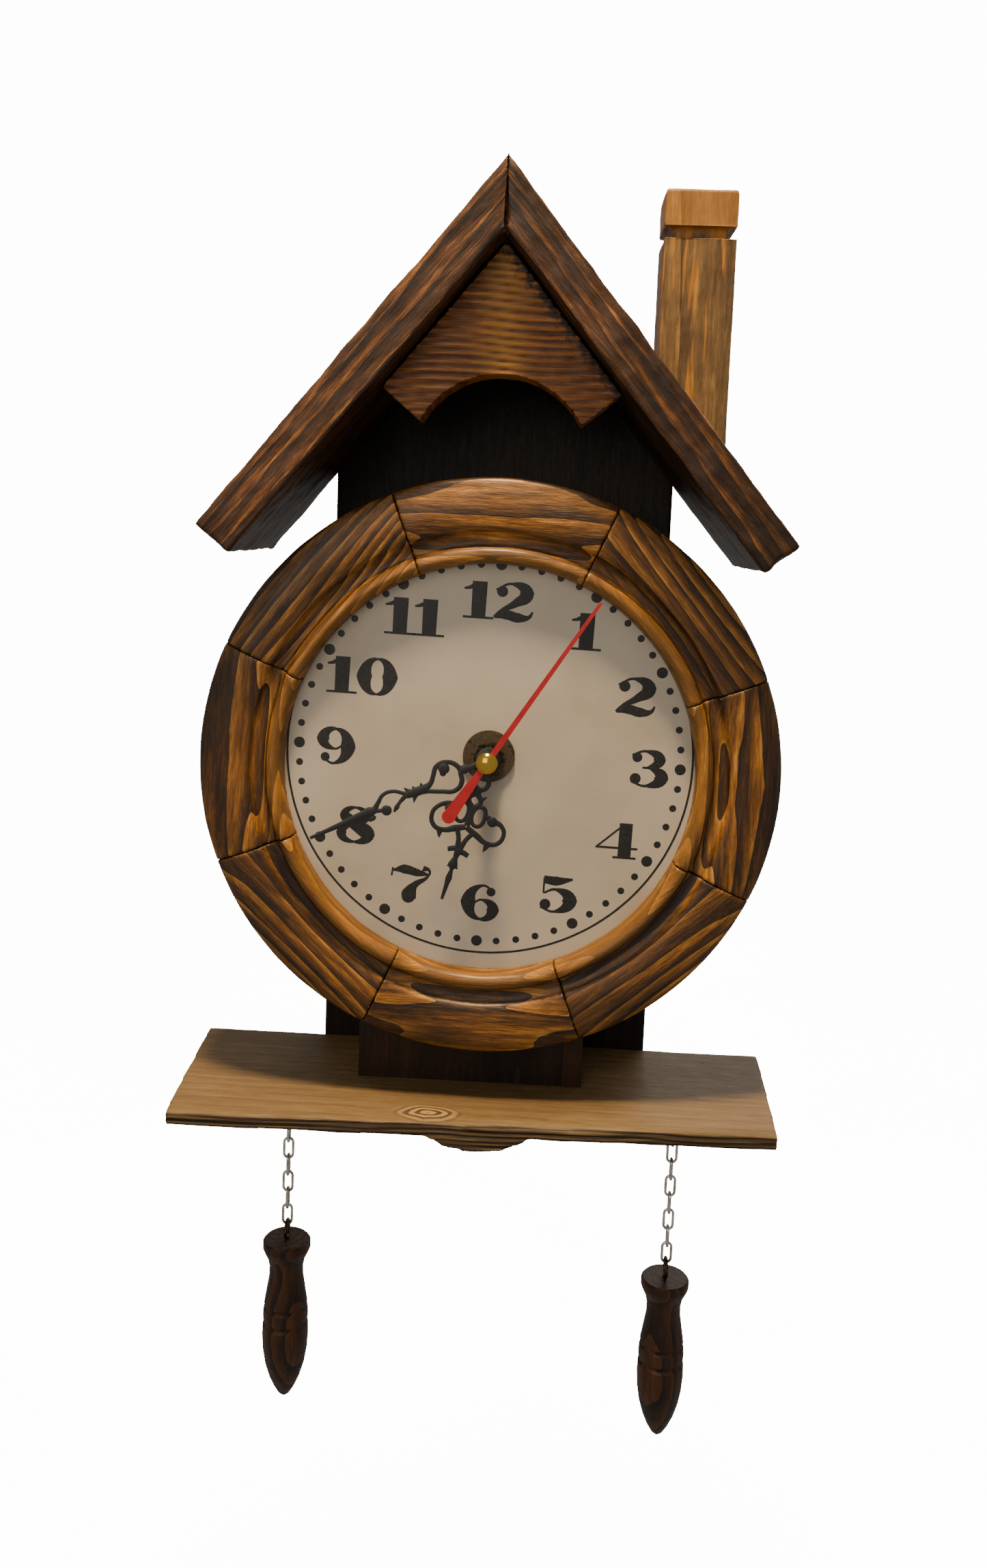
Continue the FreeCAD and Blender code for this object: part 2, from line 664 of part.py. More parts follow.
def flat_ring(side, along_hand, r_out, r_in):
    return Part.makeCylinder(r_out, 1, V(side, 0, along_hand), Y_AXIS), \
        Part.makeCylinder(r_in, 3, V(side, -1, along_hand), Y_AXIS)


def flat_bar(start, end, start_width, end_width):
    """A tapered bar between two (side, along) points."""
    a = V(start[0], 0, start[1])
    b = V(end[0], 0, end[1])
    across = (b - a).cross(Y_AXIS).normalize()
    corners = [a + across * (start_width / 2), b + across * (end_width / 2),
               b - across * (end_width / 2), a - across * (start_width / 2)]
    return Part.Face(Part.makePolygon(corners + corners[:1])).extrude(Y_AXIS)


def make_hand(rings, discs, bars, hub_bore, angle, back_y):
    """Fuses the outlines, opens the rings' eyes, adds the solid discs, and sets the hand."""
    solids = []
    eyes = []
    for ring in rings:
        outside, eye = flat_ring(*ring)
        solids.append(outside)
        eyes.append(eye)
    body = solids[0].fuse(solids[1:]).cut(eyes)
    pieces = [flat_bar(*bar) for bar in bars]
    pieces += [Part.makeCylinder(r, 1, V(x, 0, z), Y_AXIS) for x, z, r in discs]
    body = body.fuse(pieces).removeSplitter()
    body = body.cut(Part.makeCylinder(hub_bore, 3, V(0, -1, 0), Y_AXIS))
    thin = FreeCAD.Matrix()
    thin.scale(1, hand_thickness, 1)
    body = body.transformGeometry(thin)
    body.rotate(V(0, 0, 0), Y_AXIS, math.degrees(angle))
    body.translate(V(0, back_y - hand_thickness, arbor_z))
    return body


minute_rings = [(-0.7, 15.6, 5.5, 4.1), (-0.1, 37.9, 4.3, 3.1), (0.5, 48.2, 2.0, 1.1)]
minute_discs = [(0, 0, 3.6), (-3.1, 15.2, 2.3), (1.7, 40.1, 1.9)]
minute_bars = [((0, 2), (0, 11), 2.6, 2.0), ((0.4, 20.6), (0.2, 34.2), 2.6, 1.6),
               ((-1.6, 25.2), (2.0, 27.2), 0.9, 0.9), ((1.6, 29.4), (-2.2, 31.2), 0.9, 0.9),
               ((0.4, 41.5), (0.4, 46.6), 1.8, 1.6), ((0.2, 49.6), (0, 70.1), 2.0, 1.0)]
save("minute_hand", make_hand(minute_rings, minute_discs, minute_bars, minute_pipe_r,
                              minute_angle, minute_hand_back))

hour_rings = [(0, 8.0, 2.7, 1.5), (0, 14.0, 2.8, 1.6), (-3.2, 20.4, 3.6, 2.4), (3.2, 20.4, 3.6, 2.4),
              (-9.3, 24.6, 4.7, 3.3), (9.3, 24.6, 4.7, 3.3), (0, 27.0, 2.2, 1.1)]
hour_discs = [(0, 0, 4.2), (-8.0, 20.6, 1.5), (8.0, 20.6, 1.5)]
hour_bars = [((0, 3.5), (0, 6.0), 3.0, 2.0), ((0, 10.2), (0, 12), 1.6, 1.6),
             ((0, 16.2), (0, 19.2), 1.6, 1.6),
             ((-5.5, 25.0), (0, 33.5), 1.4, 1.8), ((5.5, 25.0), (0, 33.5), 1.4, 1.8),
             ((-6.6, 22.0), (-2.5, 25.6), 1.4, 1.4), ((6.6, 22.0), (2.5, 25.6), 1.4, 1.4),
             ((0, 29.0), (0, 36.5), 2.4, 3.0), ((-3.6, 34.6), (3.6, 34.6), 1.6, 1.6),
             ((0, 35.5), (0, 53.9), 2.6, 1.0), ((-1.6, 41.0), (1.6, 41.0), 1.4, 1.4),
             ((-9.3, 28.5), (-9.9, 32.5), 2.4, 0.5), ((9.3, 28.5), (9.9, 32.5), 2.4, 0.5)]
save("hour_hand", make_hand(hour_rings, hour_discs, hour_bars, hour_pipe_r,
                            hour_angle, hour_hand_back))

second_rings = [(0, 0, 1.9, second_arbor_r)]
second_discs = [(0, -23.8, 2.5)]
second_bars = [((0, 0.8), (0, 69.5), 2.2, 1.2), ((0, -0.8), (0, -23.8), 2.2, 4.8)]
save("second_hand", make_hand(second_rings, second_discs, second_bars, second_arbor_r,
                              second_angle, second_hand_back))

# The brass cap pressed over the second hand's hub: a low dome.
cap_y1 = second_hand_back - hand_thickness
dome_r = (second_cap_r ** 2 + second_cap_height ** 2) / (2 * second_cap_height)
dome = Part.makeSphere(dome_r, V(0, cap_y1 - second_cap_height + dome_r, arbor_z))
dome = dome.common(rod_y(0, arbor_z, second_cap_r + 1, cap_y1 - second_cap_height - 1, cap_y1 - 0.4))
rim_of_dome = rod_y(0, arbor_z, second_cap_r, cap_y1 - 0.4, cap_y1)
save("second_hand_cap", dome.fuse(rim_of_dome).removeSplitter())

# ---- Hooks, chains and weights ----

bend_r = (link_inner_width + link_wire) / 2
bend_offset = (link_inner_length - link_inner_width) / 2
link_pitch = link_inner_length - link_slack
hook_r = hook_inner_r + hook_wire / 2
hook_z = shelf_under_z - 0.4 - hook_r - hook_wire / 2
first_link_z = hook_z - hook_inner_r + link_slack - link_inner_length / 2
eye_r = eye_inner_r + eye_wire / 2


def wire_ring(centre, axis, radius, wire):
    return Part.makeTorus(radius, wire / 2, centre, axis)


def chain_link(x, z, flat_axis):
    """An oval link hanging at z, lying square to flat_axis."""
    across = flat_axis.cross(Z_AXIS)
    middle = V(x, chain_y, z)
    sides = []
    for hand in (-1, 1):
        start = middle + across * (hand * bend_r) - Z_AXIS * bend_offset
        sides.append(Part.makeCylinder(link_wire / 2, 2 * bend_offset, start, Z_AXIS))
    bends = []
    for end in (-1, 1):
        centre = middle + Z_AXIS * (end * bend_offset)
        ring = wire_ring(centre, flat_axis, bend_r, link_wire)
        reach = bend_r + link_wire
        keep = Part.makeBox(2 * reach, 2 * reach, reach,
                            centre - V(reach, reach, 0 if end > 0 else reach))
        bends.append(ring.common(keep))
    return sides[0].fuse([sides[1]] + bends).removeSplitter()


weight_profile = [(0, 0), (8.6, 0), (9.3, -0.8), (9.3, -3.2), (8.6, -5.0), (7.3, -7.6), (6.6, -11.0),
                  (6.7, -15.0), (7.5, -20.0), (8.5, -26.2), (8.1, -27.0), (8.1, -27.8), (8.7, -28.6),
                  (8.9, -31.0), (8.8, -33.0), (8.3, -33.8), (8.3, -34.6), (9.0, -35.6), (9.1, -40.0),
                  (8.7, -46.0), (7.8, -51.5), (6.2, -57.0), (4.3, -61.5), (2.4, -64.8),
                  (1.0, -66.1), (0, -weight_length)]
eye_shank_r = 0.9
eye_shank_length = 9.0


def hang_chain(side_name, x, hook_axis, link_count):
    """A screw hook, its links and the weight that they carry."""
    other_axis = Y_AXIS if hook_axis == X_AXIS else X_AXIS
    hook = wire_ring(V(x, chain_y, hook_z), hook_axis, hook_r, hook_wire)
    shank = rod_z(x, chain_y, hook_shank_r, hook_z + hook_r, shelf_under_z + hook_shank_length)
    save("chain_hook_" + side_name, hook.fuse(shank).removeSplitter())

    links = []
    for index in range(link_count):
        flat_axis = other_axis if index % 2 == 0 else hook_axis
        links.append(chain_link(x, first_link_z - index * link_pitch, flat_axis))
    save("top_link_" + side_name, links[0])
    save("chain_links_" + side_name, Part.makeCompound(links[1:]))

    last_z = first_link_z - (link_count - 1) * link_pitch
    eye_z = last_z - link_inner_length / 2 + link_slack - eye_inner_r
    last_flat = other_axis if link_count % 2 == 1 else hook_axis
    eye_axis = Y_AXIS if last_flat == X_AXIS else X_AXIS
    weight_top = eye_z - eye_r - eye_wire / 2 - 0.1
    eye = wire_ring(V(x, chain_y, eye_z), eye_axis, eye_r, eye_wire)
    eye_shank = rod_z(x, chain_y, eye_shank_r, weight_top - eye_shank_length, eye_z - eye_r)
    save("weight_eye_" + side_name, eye.fuse(eye_shank).removeSplitter())
    weight = turned_z(weight_profile, x, chain_y, weight_top)
    weight = weight.cut(rod_z(x, chain_y, eye_shank_r + dowel_gap,
                              weight_top - eye_shank_length - 0.2, weight_top + 1))
    save("weight_" + side_name, weight)


hang_chain("left", left_chain_x, X_AXIS, left_link_count)
hang_chain("right", right_chain_x, Y_AXIS, right_link_count)
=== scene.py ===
import math

import bpy
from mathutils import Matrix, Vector


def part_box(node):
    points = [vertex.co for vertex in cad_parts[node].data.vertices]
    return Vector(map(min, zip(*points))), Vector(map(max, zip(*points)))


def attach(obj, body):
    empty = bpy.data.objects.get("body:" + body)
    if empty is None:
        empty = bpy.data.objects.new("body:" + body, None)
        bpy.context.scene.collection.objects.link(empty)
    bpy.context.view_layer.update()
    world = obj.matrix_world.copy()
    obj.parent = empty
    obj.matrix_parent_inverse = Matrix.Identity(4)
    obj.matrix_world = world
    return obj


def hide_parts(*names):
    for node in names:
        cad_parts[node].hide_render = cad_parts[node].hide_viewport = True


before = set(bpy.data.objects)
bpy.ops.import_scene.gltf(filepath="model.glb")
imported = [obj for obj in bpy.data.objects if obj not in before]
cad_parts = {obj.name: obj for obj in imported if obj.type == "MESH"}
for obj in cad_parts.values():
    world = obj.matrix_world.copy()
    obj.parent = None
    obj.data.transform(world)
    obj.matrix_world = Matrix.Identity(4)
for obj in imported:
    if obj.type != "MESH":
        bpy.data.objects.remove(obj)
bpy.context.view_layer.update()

# ---- Back panel ----
# A pine plank with a gabled top, stained almost black and wiped back, screwed to everything
# in front of it. Its grain stands upright and shows only as a faint brown.

mm = 0.001


def linear(code):
    """An sRGB colour such as "8A5A2B", as the linear values a shader takes."""
    parts = [int(code[i:i + 2], 16) / 255 for i in (0, 2, 4)]
    return tuple(c / 12.92 if c <= 0.04045 else ((c + 0.055) / 1.055) ** 2.4 for c in parts) + (1.0,)


def add(tree, kind, sockets=None, stops=None, **settings):
    """Adds a node with its settings, fills its sockets with values or links, and sets ramp stops."""
    node = tree.nodes.new(kind)
    for key, value in settings.items():
        setattr(node, key, value)
    for key, value in (sockets or {}).items():
        if isinstance(value, bpy.types.NodeSocket):
            tree.links.new(value, node.inputs[key])
        else:
            node.inputs[key].default_value = value
    if stops:
        elements = node.color_ramp.elements
        while len(elements) < len(stops):
            elements.new(0.5)
        for element, (position, code) in zip(elements, stops):
            element.position = position
            element.color = linear(code)
    return node


def new_surface(name, **constants):
    """A material with one shader; the constants are set on the shader's own sockets."""
    material = bpy.data.materials.new(name)
    material.use_nodes = True
    shader = material.node_tree.nodes["Principled BSDF"]
    for key, value in constants.items():
        shader.inputs[key.replace("_", " ")].default_value = value
    return material, material.node_tree, shader


def pine(name, turn, pith, ring_width, tones, scorch, scorched, varnish, relief, wild=1.0, figure=0.85):
    """Scorched and wire-brushed softwood. turn lays the grain along the piece, pith is a point on
    the line the growth rings are centred on, and ring_width is in metres. wild is how far the
    figure strays, and figure how strongly it shows under the streaks."""
    material, tree, shader = new_surface(name, Coat_Weight=varnish, Coat_Roughness=0.3,
                                         Specular_IOR_Level=0.25)
    place = add(tree, "ShaderNodeTexCoord")
    board = add(tree, "ShaderNodeMapping", {"Vector": place.outputs["Object"], "Location": pith,
                                            "Rotation": turn, "Scale": (11.0, 1.0, 1.0)},
                vector_type="TEXTURE")
    # Growth wanders a few millimetres over a hand's length of board.
    wander = add(tree, "ShaderNodeTexNoise", {"Vector": board.outputs["Vector"], "Scale": 34.0,
                                              "Detail": 2.0, "Roughness": 0.5})
    centred = add(tree, "ShaderNodeVectorMath", {0: wander.outputs["Color"], 1: (0.5, 0.5, 0.5)},
                  operation="SUBTRACT")
    strays = 0.012 * wild
    grown = add(tree, "ShaderNodeVectorMath", {0: centred.outputs[0], 1: (strays, strays, strays),
                                               2: board.outputs["Vector"]}, operation="MULTIPLY_ADD")
    # The wave texture repeats every 0.314 of its scaled units.
    rings = add(tree, "ShaderNodeTexWave", {"Vector": grown.outputs[0], "Scale": 0.314 / ring_width,
                                            "Distortion": 1.4 * wild, "Detail": 3.0,
                                            "Detail Scale": 0.6, "Detail Roughness": 0.6},
                wave_type="RINGS", rings_direction="X", wave_profile="SAW")
    # Fibres are under 0.1 mm wide, and drawn about 0.6 mm wide so that they show.
    fibre = add(tree, "ShaderNodeTexNoise", {"Vector": board.outputs["Vector"], "Scale": 1500.0,
                                             "Detail": 2.0, "Roughness": 0.6})
    # Broken streaks some 2 mm wide, where soft grain was burnt out and hard grain caught the brush.
    streak = add(tree, "ShaderNodeTexNoise", {"Vector": board.outputs["Vector"], "Scale": 480.0,
                                              "Detail": 4.0, "Roughness": 0.72})
    streaked = add(tree, "ShaderNodeMapRange", {"Value": streak.outputs["Fac"], "From Min": 0.32,
                                                "From Max": 0.68, "To Min": 0.125 - 0.5 * figure,
                                                "To Max": 0.685 - 0.5 * figure})
    layers = add(tree, "ShaderNodeMath", {0: rings.outputs["Fac"], 1: figure, 2: streaked.outputs[0]},
                 operation="MULTIPLY_ADD")
    depth = add(tree, "ShaderNodeMath", {0: fibre.outputs["Fac"], 1: 0.40, 2: layers.outputs[0]},
                operation="MULTIPLY_ADD")
    spread = add(tree, "ShaderNodeMath", {0: depth.outputs[0], 1: 0.72}, operation="MULTIPLY")
    tone = add(tree, "ShaderNodeValToRGB", {"Fac": spread.outputs[0]}, stops=tones)
    # The torch leaves patches some 25 mm across, drawn out along the grain.
    shorter = add(tree, "ShaderNodeVectorMath", {0: board.outputs["Vector"], 1: (3.2, 1.0, 1.0)},
                  operation="MULTIPLY")
    torch = add(tree, "ShaderNodeTexNoise", {"Vector": shorter.outputs[0], "Scale": 38.0,
                                             "Detail": 4.0, "Roughness": 0.6})
    patch = add(tree, "ShaderNodeMapRange", {"Value": torch.outputs["Fac"], "From Min": 0.42,
                                             "From Max": 0.68, "To Min": 0.0, "To Max": scorched})
    char = add(tree, "ShaderNodeMix", {0: patch.outputs[0], 6: tone.outputs["Color"],
                                       7: linear(scorch)}, data_type="RGBA")
    tree.links.new(char.outputs[2], shader.inputs["Base Color"])
    sheen = add(tree, "ShaderNodeMapRange", {"Value": fibre.outputs["Fac"], "To Min": 0.42,
                                             "To Max": 0.66})
    tree.links.new(sheen.outputs[0], shader.inputs["Roughness"])
    grooves = add(tree, "ShaderNodeBump", {"Height": depth.outputs[0], "Strength": 0.7,
                                           "Distance": relief})
    tree.links.new(grooves.outputs["Normal"], shader.inputs["Normal"])
    return material


def mottled(name, scale, detail, tones, rough=None, **constants):
    """A plain surface whose tone, and roughness between the two values of rough, follow one fine
    noise. Marks are 1 / scale metres across. Gives the material, its tree, shader and noise."""
    material, tree, shader = new_surface(name, **constants)
    place = add(tree, "ShaderNodeTexCoord")
    noise = add(tree, "ShaderNodeTexNoise", {"Vector": place.outputs["Object"], "Scale": scale,
                                             "Detail": detail})
    tone = add(tree, "ShaderNodeValToRGB", {"Fac": noise.outputs["Fac"]}, stops=tones)
    tree.links.new(tone.outputs["Color"], shader.inputs["Base Color"])
    if rough:
        spread = add(tree, "ShaderNodeMapRange", {"Value": noise.outputs["Fac"], "To Min": rough[0],
                                                  "To Max": rough[1]})
        tree.links.new(spread.outputs[0], shader.inputs["Roughness"])
    return material, tree, shader, noise


def coat(piece, material):
    """Puts one material on the whole of a piece."""
    for slot in piece.material_slots:
        slot.material = material


upright = (0.0, -math.pi / 2, 0.0)
panel_stain = [(0.10, "24140A"), (0.45, "1A0F07"), (0.70, "110A05"), (0.95, "0A0603")]
panel_pine = pine("dark_stained_pine_panel", upright, (0.03, 0.012, 0.0), 0.0042, panel_stain,
                  "080502", 0.75, 0.03, 0.0002)
coat(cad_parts["back_panel"], panel_pine)

# ---- Spine block ----
# The thick plank that carries the ring and the shelf, with the movement let into it.
# Stained like the panel, with upright grooves where the soft grain was brushed out.

block_stain = [(0.10, "38200D"), (0.45, "22130A"), (0.72, "120A05"), (0.95, "080503")]
block_pine = pine("dark_stained_pine_block", upright, (-0.02, 0.30, 0.0), 0.0052, block_stain,
                  "080502", 0.7, 0.08, 0.0006)
coat(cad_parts["spine_block"], block_pine)

# ---- Roof boards ----
# Two pine boards mitred upright at the ridge. The fronts are scorched and brushed so that
# orange bands run down the slope; the eaves are rough-sawn and the corners rubbed round.


def worn_copy(name, node, grid, wear, patch):
    """A new piece shaped like a CAD board: its corners rubbed round and its faces slightly uneven.
    grid is the mesh spacing, wear the deepest hollow and patch a hollow's width, in metres."""
    bpy.ops.object.select_all(action="DESELECT")
    piece = bpy.data.objects.new(name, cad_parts[node].data.copy())
    bpy.context.scene.collection.objects.link(piece)
    piece.select_set(True)
    bpy.context.view_layer.objects.active = piece
    bpy.ops.object.mode_set(mode="EDIT")
    bpy.ops.mesh.select_all(action="SELECT")
    bpy.ops.mesh.remove_doubles(threshold=1e-6)
    bpy.ops.mesh.normals_make_consistent(inside=False)
    bpy.ops.object.mode_set(mode="OBJECT")
    skin = piece.modifiers.new("skin", "REMESH")
    skin.mode = "VOXEL"
    skin.voxel_size = grid
    skin.use_smooth_shade = True
    bpy.ops.object.modifier_apply(modifier="skin")
    hollows = bpy.data.textures.new(name + "_hollows", "CLOUDS")
    hollows.noise_scale = patch
    hollows.noise_depth = 2
    rub = piece.modifiers.new("rub", "DISPLACE")
    rub.texture = hollows
    rub.texture_coords = "LOCAL"
    rub.mid_level = 1.0
    rub.strength = wear
    bpy.ops.object.modifier_apply(modifier="rub")
    return piece


def place_piece(piece, body, slot, material, *nodes):
    """Hands a finished piece to the frame, in place of its CAD nodes."""
    coat(piece, material)
    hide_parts(*nodes)
    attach(piece, body)


roof_pitch = math.radians(50.3)
roof_tones = [(0.04, "B4782C"), (0.20, "77491A"), (0.38, "482A0E"), (0.60, "2A1707"), (0.86, "100803")]
ridge_low, ridge_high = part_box("roof_board_right")
for side, node, turn in ((-1, "roof_board_left", math.pi - roof_pitch), (1, "roof_board_right", roof_pitch)):
    board = worn_copy("scorched_" + node, node, 0.0011, 0.0012, 0.012)
    for vertex in [v for v in board.data.vertices if abs(v.co.x) > ridge_high[0] - 16 * mm]:
        # The saw left the end grain torn: short steps along and across the cut.
        reach = (abs(vertex.co.x) - (ridge_high[0] - 16 * mm)) / (16 * mm)
        tear = math.sin(vertex.co.y * 410 + side) * math.sin(vertex.co.z * 640 + 2 * side) \
            + 0.6 * math.sin(vertex.co.y * 1150 + vertex.co.z * 500)
        pull = 1.1 * mm * reach * max(0.0, tear)
        vertex.co.x -= side * pull * math.cos(roof_pitch)
        vertex.co.z += pull * math.sin(roof_pitch)
    roof_pine = pine("scorched_pine_" + node, (0.0, turn, 0.0), (side * 0.03, -0.060, 0.012), 0.0027,
                     roof_tones, "120903", 0.90, 0.20, 0.0006, 1.0, 0.50)
    # Behind the worn front corner the glued mitre is tight.
    for vertex in board.data.vertices:
        if vertex.co.y > ridge_low[1] + 2 * mm and abs(vertex.co.x) < 1.4 * mm:
            vertex.co.x = -0.12 * mm * side
    place_piece(board, "clock_body", "roof_pine", roof_pine, node)

# ---- Gable board ----
# A thinner board that fills the ridge corner, with an arch sawn in its lower edge. Its soft
# grain was brushed out deeply, so that the hard growth lines stand as level ribs.

gable = worn_copy("brushed_gable_board", "gable_board", 0.0007, 0.0004, 0.006)
gable_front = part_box("gable_board")[0][1]
rib_pitch = 2.9 * mm
hollow = gable.data.attributes.new("groove", "FLOAT", "POINT")
for vertex in gable.data.vertices:
    if vertex.co.y < gable_front + 1.6 * mm:
        level = vertex.co.z + 0.9 * mm * math.sin(vertex.co.x * 95) + 0.5 * mm * math.sin(vertex.co.z * 260)
        rib = abs(math.sin(math.pi * level / rib_pitch))
        hollow.data[vertex.index].value = 1 - rib ** 0.6
        vertex.co.y += 0.75 * mm * hollow.data[vertex.index].value
gable_tones = [(0.06, "C07A28"), (0.35, "96581E"), (0.62, "663812"), (0.92, "341A08")]
gable_pine = pine("brushed_pine_gable", (0.0, 0.0, 0.0), (0.0, gable_front, -0.50), 0.0029,
                  gable_tones, "2A1507", 0.45, 0.25, 0.0004, 0.5, 0.45)
tree = gable_pine.node_tree
shader = tree.nodes["Principled BSDF"]
place = add(tree, "ShaderNodeTexCoord")
split = add(tree, "ShaderNodeSeparateXYZ", {"Vector": place.outputs["Object"]})
# Painted highlight: a gold-coloured sheen down the middle, fading out 14 mm to each side.
off_middle = add(tree, "ShaderNodeMath", {0: split.outputs["X"]}, operation="ABSOLUTE")
middle = add(tree, "ShaderNodeMapRange", {"Value": off_middle.outputs[0], "From Min": 0.0, "From Max": 0.014,
                                          "To Min": 0.45, "To Max": 0.0}, interpolation_type="SMOOTHSTEP")
centre_sheen = add(tree, "ShaderNodeMix", {0: middle.outputs[0],
                                     6: shader.inputs["Base Color"].links[0].from_socket,
                                     7: linear("C88A30")}, data_type="RGBA")
# Painted shade: a dark band along the edge under the right-hand roof board, its border ragged in crumbs 1 to
# 3 mm across.
slope_x = add(tree, "ShaderNodeMath", {0: split.outputs["X"], 1: math.sin(roof_pitch)}, operation="MULTIPLY")
to_board = add(tree, "ShaderNodeMath", {0: split.outputs["Z"], 1: math.cos(roof_pitch),
                                        2: slope_x.outputs[0]}, operation="MULTIPLY_ADD")
board_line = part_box("gable_board")[1][2] * math.cos(roof_pitch)
crumbs = add(tree, "ShaderNodeTexNoise", {"Vector": place.outputs["Object"], "Scale": 330.0, "Detail": 4.0,
                                          "Roughness": 0.7})
ragged = add(tree, "ShaderNodeMath", {0: crumbs.outputs["Fac"], 1: 0.016, 2: to_board.outputs[0]},
             operation="MULTIPLY_ADD")
# Painted shade: the brushed-out hollows between the ribs are darkened.
between = add(tree, "ShaderNodeAttribute", attribute_name="groove")
darker = add(tree, "ShaderNodeMapRange", {"Value": between.outputs["Fac"], "From Min": 0.10, "From Max": 0.60,
                                          "To Max": 0.72})
groove_shaded = add(tree, "ShaderNodeMix", {0: darker.outputs[0], 6: centre_sheen.outputs[2], 7: linear("2A1406")},
             data_type="RGBA")
board_shade_mask = add(tree, "ShaderNodeMapRange", {"Value": ragged.outputs[0], "From Min": board_line + 0.0035,
                                         "From Max": board_line + 0.0070, "To Min": 0.0, "To Max": 0.92})
shaded_under_board = add(tree, "ShaderNodeMix", {0: board_shade_mask.outputs[0], 6: groove_shaded.outputs[2], 7: linear("0C0603")},
              data_type="RGBA")
tree.links.new(shaded_under_board.outputs[2], shader.inputs["Base Color"])
place_piece(gable, "clock_body", "brushed_pine", gable_pine, "gable_board")

# ---- Chimney ----
# A square pine stick with a groove sawn round it below the cap, lightly stained and left matt.
# It stands on the right-hand roof board on a dowel.

chimney = worn_copy("stained_chimney", "chimney", 0.0006, 0.0004, 0.010)
chimney_low, chimney_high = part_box("chimney")
chimney_tones = [(0.04, "A67C42"), (0.28, "7A5E36"), (0.54, "584428"), (0.84, "332412")]
chimney_pine = pine("stained_pine_chimney", upright, (0.5 * (chimney_low[0] + chimney_high[0]), 0.02, 0.0),
                    0.0040, chimney_tones, "3A2413", 0.55, 0.12, 0.0004, 1.0, 0.6)
tree = chimney_pine.node_tree
shader = tree.nodes["Principled BSDF"]
place = add(tree, "ShaderNodeTexCoord")
split = add(tree, "ShaderNodeSeparateXYZ", {"Vector": place.outputs["Object"]})
# The cap took an amber varnish, and thin amber runs, 2 to 4 mm wide, went down the post.
cap = add(tree, "ShaderNodeMapRange", {"Value": split.outputs["Z"], "From Min": chimney_high[2] - 16.5 * mm,
                                       "From Max": chimney_high[2] - 14.5 * mm, "To Max": 0.32})
tall = add(tree, "ShaderNodeVectorMath", {0: place.outputs["Object"], 1: (1.0, 1.0, 0.09)},
           operation="MULTIPLY")
drips = add(tree, "ShaderNodeTexNoise", {"Vector": tall.outputs[0], "Scale": 230.0, "Detail": 2.0})
runs = add(tree, "ShaderNodeMapRange", {"Value": drips.outputs["Fac"], "From Min": 0.54, "From Max": 0.62,
                                        "To Max": 0.60})
either = add(tree, "ShaderNodeMath", {0: cap.outputs[0], 1: runs.outputs[0]}, operation="MAXIMUM")
amber = add(tree, "ShaderNodeMix", {0: either.outputs[0],
                                    6: shader.inputs["Base Color"].links[0].from_socket,
                                    7: linear("B87A22")}, data_type="RGBA")
tree.links.new(amber.outputs[2], shader.inputs["Base Color"])
place_piece(chimney, "clock_body", "plain_pine", chimney_pine, "chimney")

# Beech shows short darker flecks about 2 mm long.
dowel_beech = mottled("bare_beech_dowel", 500.0, 3.0, [(0.35, "C9A273"), (0.60, "A97F52")],
                      Roughness=0.6)[0]
for name in ("chimney_dowel", "ring_dowels"):
    coat(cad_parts[name], dowel_beech)

# ---- Ring ----
# Eight mitred pine segments, glued and turned to a bead, a cove and a crowned face, then
# torched, brushed and varnished. Each has its own board's figure, along its length.

ring_tones = [(0.04, "BC8434"), (0.22, "8C5A1E"), (0.40, "64400F"), (0.60, "3C240A"), (0.82, "1A0D04")]
dial_turn = math.radians(1.7)
